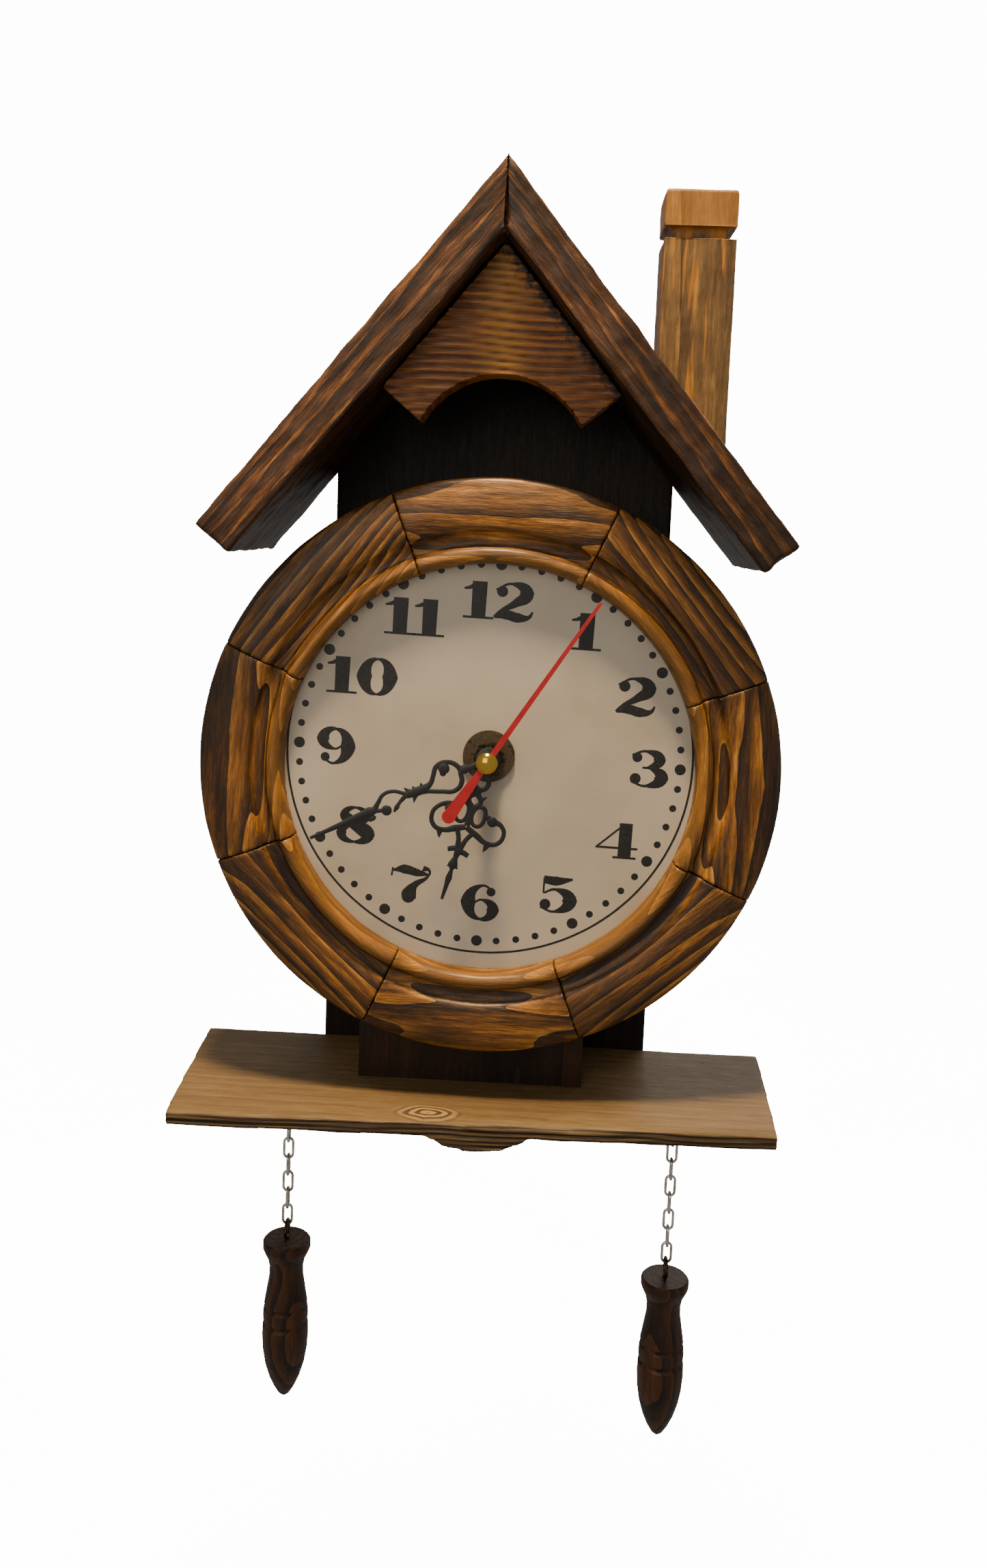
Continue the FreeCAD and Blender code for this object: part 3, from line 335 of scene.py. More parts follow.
# For each segment, from the top and clockwise: how far its pith lies out from the segment's
# middle and behind its face, in millimetres, and how far its grain strays from the chord.
figures = [(6, 30, 0), (-14, 16, 4), (8, 22, -2), (-10, 18, 3), (4, 26, 0), (-12, 20, -3), (7, 18, 2),
           (16, 14, -9)]
paper_low, paper_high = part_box("dial_paper")
ring_x = 0.5 * (paper_low[0] + paper_high[0])
ring_z = 0.5 * (paper_low[2] + paper_high[2])
dial_face = paper_low[1]
for index, (out, behind, stray) in enumerate(figures):
    node = "ring_segment_%d" % (index + 1)
    segment = worn_copy("turned_" + node, node, 0.0007, 0.0003, 0.010)
    around = index * math.pi / 4 + dial_turn
    # Behind the worn front edges the glued mitres, half of 45 degrees each way, are tight.
    for vertex in segment.data.vertices:
        from_x, from_z = vertex.co.x - ring_x, vertex.co.z - ring_z
        across = from_x * math.cos(around) - from_z * math.sin(around)
        along = from_x * math.sin(around) + from_z * math.cos(around)
        hand = math.copysign(1.0, across)
        inside = along * math.sin(math.pi / 8) - abs(across) * math.cos(math.pi / 8)
        if inside < 1.3 * mm and vertex.co.y > dial_face - 1.5 * mm:
            push = inside + 0.12 * mm
            across += hand * push * math.cos(math.pi / 8)
            along -= push * math.sin(math.pi / 8)
            vertex.co.x = ring_x + across * math.cos(around) + along * math.sin(around)
            vertex.co.z = ring_z - across * math.sin(around) + along * math.cos(around)
    reach = (91 + out) * mm
    pith = (ring_x + reach * math.sin(around), dial_face + (behind - 8) * mm,
            ring_z + reach * math.cos(around))
    ring_pine = pine("scorched_pine_" + node, (0.0, around + math.radians(stray), 0.0), pith, 0.0030,
                     ring_tones, "1E0F05", 0.80, 0.30, 0.0005, 0.8, 0.72)
    # Painted highlight: the bead is lightened out to 6.5 mm from the bore.
    tree = ring_pine.node_tree
    shader = tree.nodes["Principled BSDF"]
    figure = shader.inputs["Base Color"].links[0].from_socket
    place = add(tree, "ShaderNodeTexCoord")
    from_axis = add(tree, "ShaderNodeVectorMath", {0: place.outputs["Object"],
                                                   1: (ring_x, 0.0, ring_z)}, operation="SUBTRACT")
    flat = add(tree, "ShaderNodeVectorMath", {0: from_axis.outputs[0], 1: (1.0, 0.0, 1.0)},
               operation="MULTIPLY")
    out_from_axis = add(tree, "ShaderNodeVectorMath", {0: flat.outputs[0]}, operation="LENGTH")
    on_bead = add(tree, "ShaderNodeMapRange", {"Value": out_from_axis.outputs["Value"],
                                               "From Min": 0.0815, "From Max": 0.0785,
                                               "To Max": 0.22})
    bead_highlight = add(tree, "ShaderNodeMix", {0: on_bead.outputs[0], 6: figure,
                                              7: linear("BC8230")}, data_type="RGBA")
    tree.links.new(bead_highlight.outputs[2], shader.inputs["Base Color"])
    place_piece(segment, "clock_body", "ring_pine", ring_pine, node)

# ---- Shelf ----
# A thin board with its natural front edge, where layers of soft grain have opened, and a knot
# that bulges below it. Stained grey-brown and left matt on top.

shelf = worn_copy("live_edge_shelf", "shelf", 0.0011, 0.0007, 0.020)
shelf_low, shelf_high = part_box("shelf")
for vertex in shelf.data.vertices:
    x, y, z = vertex.co
    edge_y = shelf_low[1] + (x - shelf_low[0]) / (shelf_high[0] - shelf_low[0]) * 6.7 * mm
    inward = max(0.0, 1 - (y - edge_y) / (5 * mm))
    if inward > 0:
        height = (z - (shelf_high[2] - 6.4 * mm)) / mm
        layer = math.sin(2.3 * height + 1.2 * math.sin(x * 55) + 0.5 * math.sin(x * 170))
        vertex.co.y += inward * mm * (0.55 + 0.55 * layer + 0.35 * math.sin(x * 120) * math.sin(x * 37))
        if z > shelf_high[2] - 2.5 * mm:
            vertex.co.z -= inward * mm * (0.5 + 0.5 * math.sin(x * 48 + 1))
shelf_tones = [(0.06, "7E6B48"), (0.40, "705A3A"), (0.70, "60492C"), (0.95, "46321C")]
shelf_pine = pine("grey_stained_live_edge_board", (0.0, 0.0, 0.0), (0.0, -0.086, -0.262), 0.0050,
                  shelf_tones, "2C1D0E", 0.35, 0.03, 0.0003, 1.0, 0.25)
tree = shelf_pine.node_tree
shader = tree.nodes["Principled BSDF"]
place = add(tree, "ShaderNodeTexCoord")
# On the front edge the growth layers lie flat, 1.5 to 2 mm thick, with dirt in the soft ones.
layers = add(tree, "ShaderNodeTexWave", {"Vector": place.outputs["Object"], "Scale": 0.314 / 0.0019,
                                         "Distortion": 5.0, "Detail": 2.0, "Detail Scale": 0.12},
             wave_type="BANDS", bands_direction="Z")
facing = add(tree, "ShaderNodeNewGeometry")
split = add(tree, "ShaderNodeSeparateXYZ", {"Vector": facing.outputs["Normal"]})
front = add(tree, "ShaderNodeMapRange", {"Value": split.outputs["Y"], "From Min": -0.3, "From Max": -0.75})
dirty = add(tree, "ShaderNodeMapRange", {"Value": layers.outputs["Fac"], "From Min": 0.40, "From Max": 0.75,
                                         "To Min": 0.12, "To Max": 0.92})
edge = add(tree, "ShaderNodeMath", {0: front.outputs[0], 1: dirty.outputs[0]}, operation="MULTIPLY")
layered = add(tree, "ShaderNodeMix", {0: edge.outputs[0],
                                      6: shader.inputs["Base Color"].links[0].from_socket,
                                      7: linear("241307")}, data_type="RGBA")
# Painted shade: faces turned downward, the underside and the bulge below the knot, are darkened.
under = add(tree, "ShaderNodeMapRange", {"Value": split.outputs["Z"], "From Min": -0.10, "From Max": -0.45,
                                         "To Max": 0.75})
underside_shaded = add(tree, "ShaderNodeMix", {0: under.outputs[0], 6: layered.outputs[2], 7: linear("2E1A0A")},
              data_type="RGBA")
# A small knot shows in the top near the front edge, in swirled rings 2 mm apart.
from_knot = add(tree, "ShaderNodeMapping", {"Vector": place.outputs["Object"],
                                            "Location": (-0.017, -0.0785, shelf_high[2]),
                                            "Scale": (1.9, 1.0, 1.0)}, vector_type="TEXTURE")
swirl = add(tree, "ShaderNodeTexWave", {"Vector": from_knot.outputs["Vector"], "Scale": 0.314 / 0.0021,
                                        "Distortion": 5.0, "Detail": 3.0}, wave_type="RINGS",
            rings_direction="SPHERICAL")
reach = add(tree, "ShaderNodeVectorMath", {0: from_knot.outputs["Vector"]}, operation="LENGTH")
near_knot = add(tree, "ShaderNodeMapRange", {"Value": reach.outputs["Value"], "From Min": 0.0075,
                                             "From Max": 0.0035, "To Max": 0.75})
swirled = add(tree, "ShaderNodeValToRGB", {"Fac": swirl.outputs["Fac"]},
              stops=[(0.25, "3E2810"), (0.75, "A58A62")])
knotted = add(tree, "ShaderNodeMix", {0: near_knot.outputs[0], 6: underside_shaded.outputs[2],
                                      7: swirled.outputs["Color"]}, data_type="RGBA")
tree.links.new(knotted.outputs[2], shader.inputs["Base Color"])
place_piece(shelf, "clock_body", "shelf_wood", shelf_pine, "shelf")

# ---- Dial ----
# A stiff board with a printed paper face: a fine circle, sixty dots, the larger ones at the
# hours, and fat-faced numerals. The paper has yellowed and mottled a little.

dial_paper, tree, shader = new_surface("printed_dial_paper", Roughness=0.5, Coat_Weight=0.15,
                                       Coat_Roughness=0.3)
place = add(tree, "ShaderNodeTexCoord")
# Stains a few centimetres across, and paper tooth drawn at half a millimetre.
stains = add(tree, "ShaderNodeTexNoise", {"Vector": place.outputs["Object"], "Scale": 28.0, "Detail": 3.0})
tooth = add(tree, "ShaderNodeTexNoise", {"Vector": place.outputs["Object"], "Scale": 2000.0})
tone = add(tree, "ShaderNodeValToRGB", {"Fac": stains.outputs["Fac"]},
           stops=[(0.30, "B6AB99"), (0.55, "ADA18F"), (0.75, "A19380")])
tree.links.new(tone.outputs["Color"], shader.inputs["Base Color"])
grainy = add(tree, "ShaderNodeBump", {"Height": tooth.outputs["Fac"], "Strength": 0.15, "Distance": 0.00005})
tree.links.new(grainy.outputs["Normal"], shader.inputs["Normal"])
coat(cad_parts["dial_paper"], dial_paper)

# Pressed fibres about a millimetre long.
hardboard = mottled("pressed_hardboard", 900.0, 3.0, [(0.3, "7A5B3C"), (0.7, "5C4229")],
                    Roughness=0.8)[0]
coat(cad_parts["dial_board"], hardboard)

print_ink, tree, shader = new_surface("printing_ink_black", Roughness=0.45)
place = add(tree, "ShaderNodeTexCoord")
# The ink is worn in specks about a millimetre across.
specks = add(tree, "ShaderNodeTexNoise", {"Vector": place.outputs["Object"], "Scale": 900.0, "Detail": 4.0,
                                          "Roughness": 0.7})
tone = add(tree, "ShaderNodeValToRGB", {"Fac": specks.outputs["Fac"]},
           stops=[(0.45, "0F0E0D"), (0.66, "24211D"), (0.76, "5E574E")])
tree.links.new(tone.outputs["Color"], shader.inputs["Base Color"])

arbor_low, arbor_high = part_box("dial_washer")
arbor_x = 0.5 * (arbor_low[0] + arbor_high[0])
arbor_z = 0.5 * (arbor_low[2] + arbor_high[2])


def on_plane(centre_x, centre_z, turn, side, along, y):
    """A point side and along, in millimetres, from a centre, turned clockwise seen from the front."""
    return (centre_x + (side * math.cos(turn) + along * math.sin(turn)) * mm, y,
            centre_z + (along * math.cos(turn) - side * math.sin(turn)) * mm)


def drawn(name, strokes, dots, where, y, flatness, swell=1.0):
    """A flat figure made of strokes, each a run of (side, along, half width) in millimetres, and of
    round dots (side, along, radius). A stroke that starts with "loop" closes on itself. where turns
    a point of the figure into its place, flatness is thickness over width, and swell widens the
    strokes."""
    pieces = []
    for stroke in strokes:
        closed = stroke[0] == "loop"
        points = stroke[1:] if closed else stroke
        outline = bpy.data.curves.new(name, "CURVE")
        outline.dimensions = "3D"
        outline.bevel_depth = mm
        outline.bevel_resolution = 2
        outline.resolution_u = 7
        outline.use_fill_caps = True
        line = outline.splines.new("BEZIER")
        line.bezier_points.add(len(points) - 1)
        line.use_cyclic_u = closed
        for knot, (side, along, half_width) in zip(line.bezier_points, points):
            knot.co = where(side, along, y)
            knot.radius = swell * half_width
            knot.handle_left_type = "AUTO"
            knot.handle_right_type = "AUTO"
        piece = bpy.data.objects.new(name, outline)
        bpy.context.scene.collection.objects.link(piece)
        pieces.append(piece)
    bpy.ops.object.select_all(action="DESELECT")
    for piece in pieces:
        piece.select_set(True)
        bpy.context.view_layer.objects.active = piece
    if pieces:
        bpy.ops.object.convert(target="MESH")
        pieces = list(bpy.context.selected_objects)
    for side, along, radius in dots:
        bpy.ops.object.select_all(action="DESELECT")
        bpy.ops.mesh.primitive_uv_sphere_add(segments=24, ring_count=8, radius=radius * mm,
                                             location=where(side, along, y))
        bpy.ops.object.transform_apply(location=True, rotation=True, scale=True)
        pieces.append(bpy.context.active_object)
    bpy.ops.object.select_all(action="DESELECT")
    for piece in pieces:
        piece.select_set(True)
    bpy.context.view_layer.objects.active = pieces[0]
    if len(pieces) > 1:
        bpy.ops.object.join()
    figure = bpy.context.active_object
    figure.name = name
    bpy.ops.object.mode_set(mode="EDIT")
    bpy.ops.mesh.select_all(action="SELECT")
    bpy.ops.transform.resize(value=(1, flatness, 1), center_override=(0, y, 0))
    bpy.ops.mesh.normals_make_consistent(inside=False)
    bpy.ops.object.mode_set(mode="OBJECT")
    bpy.ops.object.shade_smooth_by_angle(angle=math.radians(40))
    if not figure.material_slots:
        figure.data.materials.append(None)
    return figure


# The numerals, each drawn in millimetres from its lower left corner: strokes, then dots.
six = ([[(7.0, 11.6, 0.3), (4.6, 13.2, 0.4), (1.9, 6.8, 1.8), (4.5, 0.4, 0.4), (7.2, 4.2, 1.5),
         (4.8, 7.8, 0.35), (3.0, 6.4, 0.3)]], [(6.6, 11.0, 1.25)])
numerals = {
    "0": ([["loop", (1.9, 6.8, 1.8), (4.6, 13.3, 0.3), (7.3, 6.8, 1.8), (4.6, 0.3, 0.3)]], []),
    "1": ([[(3.4, 0.1, 1.6), (3.4, 13.4, 1.7)], [(0.2, 10.6, 0.3), (1.6, 11.2, 0.6), (2.8, 12.8, 0.6)],
           [(0.2, 0.35, 0.35), (6.6, 0.35, 0.35)]], []),
    "2": ([[(0.7, 10.8, 0.3), (3.9, 13.2, 0.4), (7.0, 10.0, 1.7), (4.8, 6.2, 0.9), (1.6, 2.9, 0.4),
            (0.5, 0.9, 0.35)],
           [(0.6, 1.0, 0.5), (2.8, 2.0, 1.1), (5.6, 1.1, 1.1), (7.8, 1.6, 0.6), (8.5, 3.6, 0.25)]],
          [(2.0, 10.3, 1.5)]),
    "3": ([[(0.9, 11.6, 0.3), (3.9, 13.2, 0.4), (6.6, 10.3, 1.5), (4.4, 7.3, 0.35), (3.2, 7.1, 0.3)],
           [(3.2, 7.1, 0.3), (5.0, 6.9, 0.4), (7.2, 3.8, 1.75), (4.2, 0.4, 0.4), (1.0, 1.8, 0.3)]],
          [(2.0, 10.8, 1.35), (1.9, 2.9, 1.5)]),
    "4": ([[(6.3, 0.1, 1.5), (6.3, 13.3, 1.5)], [(6.0, 13.0, 0.3), (0.5, 4.1, 0.3)],
           [(0.2, 3.9, 0.35), (9.0, 3.9, 0.35)], [(3.9, 0.35, 0.35), (8.8, 0.35, 0.35)]], []),
    "5": ([[(1.3, 12.4, 0.9), (4.0, 12.0, 1.1), (7.4, 13.0, 0.35)], [(1.4, 13.0, 0.3), (1.4, 7.2, 0.3)],
           [(1.4, 7.2, 0.3), (4.0, 8.8, 0.45), (7.0, 4.8, 1.8), (4.0, 0.4, 0.4), (0.9, 1.8, 0.3)]],
          [(1.9, 3.0, 1.5)]),
    "6": six,
    "7": ([[(0.6, 9.4, 0.3), (0.8, 12.6, 0.3)], [(0.9, 11.6, 0.3), (3.2, 12.2, 1.1), (6.0, 11.2, 0.9),
                                               (8.6, 10.6, 0.3)],
           [(7.2, 13.0, 0.7), (8.6, 12.2, 0.4), (8.4, 10.2, 0.35), (5.6, 6.4, 0.8), (4.6, 3.2, 1.7),
            (4.4, 1.8, 1.8)]], [(4.4, 2.0, 1.9)]),
    "8": ([["loop", (2.3, 10.2, 1.1), (4.6, 13.3, 0.35), (6.9, 10.2, 0.9), (4.6, 7.2, 0.5)],
           ["loop", (1.8, 3.6, 1.2), (4.6, 7.0, 0.5), (7.5, 3.5, 1.6), (4.6, 0.35, 0.35)],
           [(2.4, 9.8, 1.2), (4.8, 7.0, 1.5), (7.2, 4.0, 1.6)]], []),
    "9": ([[(9.2 - x, 13.6 - z, w) for x, z, w in six[0][0]]],
          [(9.2 - x, 13.6 - z, r) for x, z, r in six[1]]),
}
widths = {"1": 6.8, "0": 9.2, "4": 9.2}
usual_width = 9.0
stretch = 1.75                   # fat-faced figures are much wider than they are drawn above
thick_swell, thin_swell, blob_swell = 1.6, 1.2, 1.35
thin_stroke = 0.6                # half width up to which a stroke counts as thin, in millimetres
overlap = 1.2                    # of two figures of one numeral, in millimetres
figure_height = 13.6
# How far the printer set each hour's figure off the circle, right and up, in millimetres.
set_off = [(0.0, -1.1), (3.3, -2.2), (1.7, -3.3), (0.5, -0.5), (-1.1, 1.1), (0.0, 0.0), (0.5, 2.7),
           (2.7, 0.0), (2.2, -0.5), (1.1, -0.5), (2.2, -2.8), (-1.1, -1.1)]
numeral_circle = 58.0
dot_circle = 70
hour_dot, minute_dot = 2.05, 1.3
rim_circle = 74.4
rim_half_width = 0.4
print_y = dial_face - 0.03 * mm
strokes = []
dots = []
for hour in range(1, 13):
    text = str(hour)
    total = stretch * sum(widths.get(digit, usual_width) for digit in text) - overlap * (len(text) - 1)
    right, up = set_off[hour % 12]
    pen_x = numeral_circle * math.sin(hour * math.pi / 6) - total / 2 + right
    pen_z = numeral_circle * math.cos(hour * math.pi / 6) - figure_height / 2 + up
    for digit in text:
        lines, blobs = numerals[digit]
        for line in lines:
            loop = ["loop"] if line[0] == "loop" else []
            strokes.append(loop + [(pen_x + stretch * x, pen_z + z,
                                    w * (thick_swell if w > thin_stroke else thin_swell))
                                   for x, z, w in line[len(loop):]])
        dots += [(pen_x + stretch * x, pen_z + z, blob_swell * r) for x, z, r in blobs]
        pen_x += stretch * widths.get(digit, usual_width) - overlap


def on_dial(side, along, y):
    """A point of the printing, on the dial as it was glued in, slightly clockwise."""
    return on_plane(arbor_x, arbor_z, dial_turn, side, along, y)


for minute in range(60):
    angle = minute * math.pi / 30
    radius = hour_dot if minute % 5 == 0 else minute_dot
    dots.append((dot_circle * math.sin(angle), dot_circle * math.cos(angle), radius))
circle_points = [(rim_circle * math.sin(i * math.pi / 24), rim_circle * math.cos(i * math.pi / 24),
                  rim_half_width) for i in range(48)]
strokes.append(["loop"] + circle_points)
printing = drawn("dial_printing", strokes, dots, on_dial, print_y, 0.01)
coat(printing, print_ink)
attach(printing, "clock_body")

# ---- Washer and nut ----
# A plated steel washer, blotched with age, and a blackened nut on the movement's bush clamp
# the dial.

washer_steel, tree, shader = new_surface("tarnished_plated_steel", Metallic=0.75)
place = add(tree, "ShaderNodeTexCoord")
# Tarnish blotches 1 to 3 mm across.
blotches = add(tree, "ShaderNodeTexNoise", {"Vector": place.outputs["Object"], "Scale": 420.0, "Detail": 4.0,
                                            "Roughness": 0.65})
tone = add(tree, "ShaderNodeValToRGB", {"Fac": blotches.outputs["Fac"]},
           stops=[(0.34, "30281D"), (0.50, "5C5140"), (0.62, "4E3A28"), (0.74, "857B68")])
tree.links.new(tone.outputs["Color"], shader.inputs["Base Color"])
rough = add(tree, "ShaderNodeMapRange", {"Value": blotches.outputs["Fac"], "To Min": 0.35, "To Max": 0.7})
tree.links.new(rough.outputs[0], shader.inputs["Roughness"])
pits = add(tree, "ShaderNodeBump", {"Height": blotches.outputs["Fac"], "Strength": 0.3, "Distance": 0.0001})
tree.links.new(pits.outputs["Normal"], shader.inputs["Normal"])
coat(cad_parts["dial_washer"], washer_steel)

# Wear shows as brighter specks about a millimetre across.
nut_steel = mottled("blackened_steel_nut", 900.0, 3.0, [(0.4, "1E1B17"), (0.7, "4A4236")],
                    (0.35, 0.6), Metallic=0.8)[0]
coat(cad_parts["bush_nut"], nut_steel)

# ---- Hour and minute hands ----
# Serpentine hands stamped from thin steel and sprayed satin black, pushed on to their pipes.
# Their scrolls and thorns aren't symmetrical.

# Spray texture drawn at a third of a millimetre.
hand_black = mottled("satin_black_enamel", 3000.0, 2.0, [(0.3, "0A0A0B"), (0.8, "1A1A1B")],
                     (0.3, 0.5), Coat_Weight=0.2, Coat_Roughness=0.3)[0]

minute_angle = math.radians(244.0)
hour_angle = math.radians(196.0)
minute_y = 0.5 * (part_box("minute_hand")[0][1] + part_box("minute_hand")[1][1])
hour_y = 0.5 * (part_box("hour_hand")[0][1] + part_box("hour_hand")[1][1])


def on_minute_hand(side, along, y):
    """A point of the minute hand, drawn pointing up and turned to its place."""
    return on_plane(arbor_x, arbor_z, minute_angle, side, along, y)


def on_hour_hand(side, along, y):
    """A point of the hour hand, drawn pointing up and turned to its place."""
    return on_plane(arbor_x, arbor_z, hour_angle, side, along, y)


minute_strokes = [
    ["loop", (0, 2.7, 1.1), (2.7, 0, 1.1), (0, -2.7, 1.1), (-2.7, 0, 1.1)],
    [(0.3, 3.0, 1.2), (0.6, 6.6, 0.9), (0.8, 8.8, 1.5), (0.6, 10.2, 1.0)],
    [(0.8, 10.0, 0.8), (2.8, 10.4, 0.8), (5.5, 12.8, 0.75), (5.8, 17.2, 0.8), (3.1, 19.8, 0.75),
     (1.1, 21.6, 0.8), (0.2, 24.0, 1.2)],
    [(0.6, 10.2, 0.8), (-3.4, 11.6, 0.8), (-4.9, 15.0, 0.75), (-3.4, 19.2, 0.7), (-1.4, 23.6, 0.7),
     (-0.4, 26.4, 0.9)],
    [(0.1, 23.6, 1.3), (0.2, 27.6, 1.5), (0.6, 31.6, 1.2)],
    [(1.0, 25.2, 0.8), (2.6, 25.0, 0.15)], [(1.0, 28.0, 0.8), (2.6, 28.2, 0.15)],
    [(1.2, 30.2, 0.9), (3.3, 31.2, 0.15)], [(-0.8, 28.6, 0.9), (-3.0, 30.2, 0.15)],
    [(0.8, 31.4, 0.8), (1.8, 32.6, 0.6), (3.7, 35.4, 0.6), (4.0, 39.0, 0.6), (1.9, 42.2, 0.7),
     (0.1, 44.4, 1.0)],
    [(0.5, 31.8, 0.8), (-1.2, 35.2, 0.55), (-2.2, 36.6, 0.8), (-3.3, 38.2, 0.3)],
    [(-1.6, 40.4, 0.6), (-0.6, 43.4, 0.7), (0.0, 45.0, 0.9)],
    [(0.0, 44.0, 1.0), (0.1, 46.2, 1.7), (0.2, 48.4, 1.3), (0.1, 56.0, 0.95), (0.0, 70.1, 0.5)],
    [(-0.6, 46.4, 0.9), (-2.0, 47.6, 0.7), (-2.4, 46.0, 0.8), (-1.9, 45.0, 0.5)],
]
minute_dots = [(4.0, 15.2, 2.1), (2.6, 16.2, 1.2), (-1.7, 40.4, 1.95)]
stamped_swell = 1.15             # the enamel rounds and thickens the stamped strips
minute_hand = drawn("serpentine_minute_hand", minute_strokes, minute_dots, on_minute_hand, minute_y,
                    0.12, stamped_swell)
place_piece(minute_hand, "minute_group", "black_hand", hand_black, "minute_hand")

hour_strokes = [
    ["loop", (0, 3.3, 0.9), (3.3, 0, 0.9), (0, -3.3, 0.9), (-3.3, 0, 0.9)],
    [(0.0, 3.6, 1.6), (-0.2, 5.8, 1.3)],
    ["loop", (-0.6, 5.8, 0.8), (1.8, 8.2, 0.7), (-0.4, 11.0, 0.8), (-3.0, 8.4, 0.8)],
    [(-0.1, 10.8, 1.4), (0.2, 12.6, 1.6)],
    [(0.1, 12.4, 0.9), (-2.4, 15.4, 0.75), (-0.4, 18.2, 0.9)],
    [(0.1, 12.4, 0.9), (2.0, 15.2, 0.75), (-0.2, 18.2, 0.9)],
    [(-2.0, 14.6, 0.9), (-3.9, 12.9, 0.25)], [(1.8, 14.6, 0.9), (3.7, 12.9, 0.25)],
    ["loop", (-0.9, 20.8, 0.65), (-3.4, 24.3, 0.65), (-5.6, 20.6, 0.7), (-3.4, 16.9, 0.7)],
    ["loop", (0.7, 20.9, 0.65), (2.9, 24.3, 0.65), (5.2, 20.8, 0.7), (2.9, 16.9, 0.7)],
    [(-0.2, 17.6, 1.0), (-0.1, 21.0, 0.7), (-0.3, 25.2, 1.0)],
    [(4.6, 19.4, 0.8), (7.4, 19.0, 0.9), (11.6, 21.2, 0.7), (13.0, 24.8, 0.7), (11.2, 28.6, 0.75),
     (7.6, 29.2, 0.8), (3.4, 27.2, 1.1), (0.0, 25.6, 0.9)],
    [(-5.2, 19.6, 0.8), (-8.4, 20.4, 1.0), (-12.6, 21.6, 0.7), (-14.0, 24.8, 0.7), (-12.4, 28.2, 0.75),
     (-8.6, 29.0, 0.8), (-4.6, 27.4, 1.0), (-0.3, 25.6, 0.9)],
    [(8.6, 28.8, 1.4), (8.4, 30.6, 0.8), (7.9, 32.4, 0.15)],
    [(-9.4, 28.8, 1.4), (-9.2, 30.6, 0.8), (-8.8, 32.4, 0.15)],
    [(3.0, 26.6, 0.8), (1.2, 30.2, 0.75), (0.4, 34.0, 0.9)],
    [(-3.4, 26.6, 0.8), (-1.6, 30.2, 0.75), (-0.6, 34.0, 0.9)],
    [(3.7, 35.4, 0.8), (1.2, 34.4, 0.9), (-0.4, 35.0, 1.2), (-2.0, 35.0, 0.9), (-4.2, 35.6, 0.8)],
    [(-0.2, 34.6, 1.3), (0.0, 37.6, 0.8), (0.1, 40.4, 1.6), (0.0, 42.4, 0.55), (0.0, 45.4, 1.05),
     (0.0, 48.0, 0.75), (0.0, 53.9, 0.45)],
    [(-0.6, 40.6, 0.8), (-2.0, 41.4, 0.2)], [(0.6, 40.6, 0.8), (2.0, 41.4, 0.2)],
]
hour_dots = [(7.6, 20.8, 1.8), (-8.6, 20.9, 1.9)]
hour_hand = drawn("serpentine_hour_hand", hour_strokes, hour_dots, on_hour_hand, hour_y, 0.12,
                  stamped_swell)
place_piece(hour_hand, "hour_group", "black_hand", hand_black, "hour_hand")

# ---- Second hand ----
# A tapered strip with a paddle-shaped tail, in bright red gloss enamel, under a turned and
# polished brass cap.

# The coat pools slightly, over a few millimetres.
second_red = mottled("gloss_red_enamel", 260.0, 2.0, [(0.3, "980509"), (0.7, "A8090E")],
                     (0.28, 0.42), Coat_Weight=0.4, Coat_Roughness=0.12)[0]
coat(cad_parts["second_hand"], second_red)

# Fine handling marks under a millimetre across.
cap_brass = mottled("polished_brass", 1400.0, 3.0, [(0.3, "E0B64A"), (0.7, "CFA23C")],
                    (0.10, 0.24), Metallic=1.0)[0]
coat(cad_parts["second_hand_cap"], cap_brass)

# ---- Movement ----
# A black moulded case with white acetal wheels, a stepping motor with a copper coil, a small
# circuit board and one AA cell, sunk into the block behind the dial.

# Spark-eroded mould texture, drawn at half a millimetre.
case_black, tree, shader, spark = mottled("moulded_black_abs", 2200.0, 2.0,
                                          [(0.3, "141415"), (0.7, "1F1F21")], Roughness=0.5)
grainy = add(tree, "ShaderNodeBump", {"Height": spark.outputs["Fac"], "Strength": 0.3, "Distance": 0.00008})
tree.links.new(grainy.outputs["Normal"], shader.inputs["Normal"])
for name in ("movement_case", "case_cover", "setting_knob"):
    coat(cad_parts[name], case_black)

# Faint flow marks a few millimetres apart.
wheel_acetal = mottled("moulded_white_acetal", 350.0, 1.0, [(0.3, "E8E6DE"), (0.7, "DAD8CF")],
                       Roughness=0.4)[0]
for name in ("hour_wheel", "centre_wheel", "second_wheel", "third_wheel", "motion_wheel", "reduction_wheel",
             "bridge_plate"):
    coat(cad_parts[name], wheel_acetal)

# The zinc's mottling is a few millimetres across.
zinc_steel = mottled("zinc_plated_steel", 300.0, 3.0, [(0.3, "A9A493"), (0.7, "8C8470")],
                     (0.3, 0.5), Metallic=1.0)[0]
for name in ("stator", "rotor", "negative_contact", "positive_contact", "hanger_plate", "hanger_screws",
             "panel_screws", "shelf_screws"):
    coat(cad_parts[name], zinc_steel)

coil_copper, tree, shader = new_surface("enamelled_copper_wire", Metallic=1.0, Roughness=0.3)
place = add(tree, "ShaderNodeTexCoord")
# Turns of wire, drawn half a millimetre apart.
turns = add(tree, "ShaderNodeTexWave", {"Vector": place.outputs["Object"], "Scale": 0.314 / 0.0005},
            wave_type="BANDS", bands_direction="Z")
tone = add(tree, "ShaderNodeValToRGB", {"Fac": turns.outputs["Fac"]},
           stops=[(0.2, "6A2C14"), (0.7, "C0622E")])
tree.links.new(tone.outputs["Color"], shader.inputs["Base Color"])
wound = add(tree, "ShaderNodeBump", {"Height": turns.outputs["Fac"], "Strength": 0.6, "Distance": 0.0002})
tree.links.new(wound.outputs["Normal"], shader.inputs["Normal"])
coat(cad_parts["coil"], coil_copper)

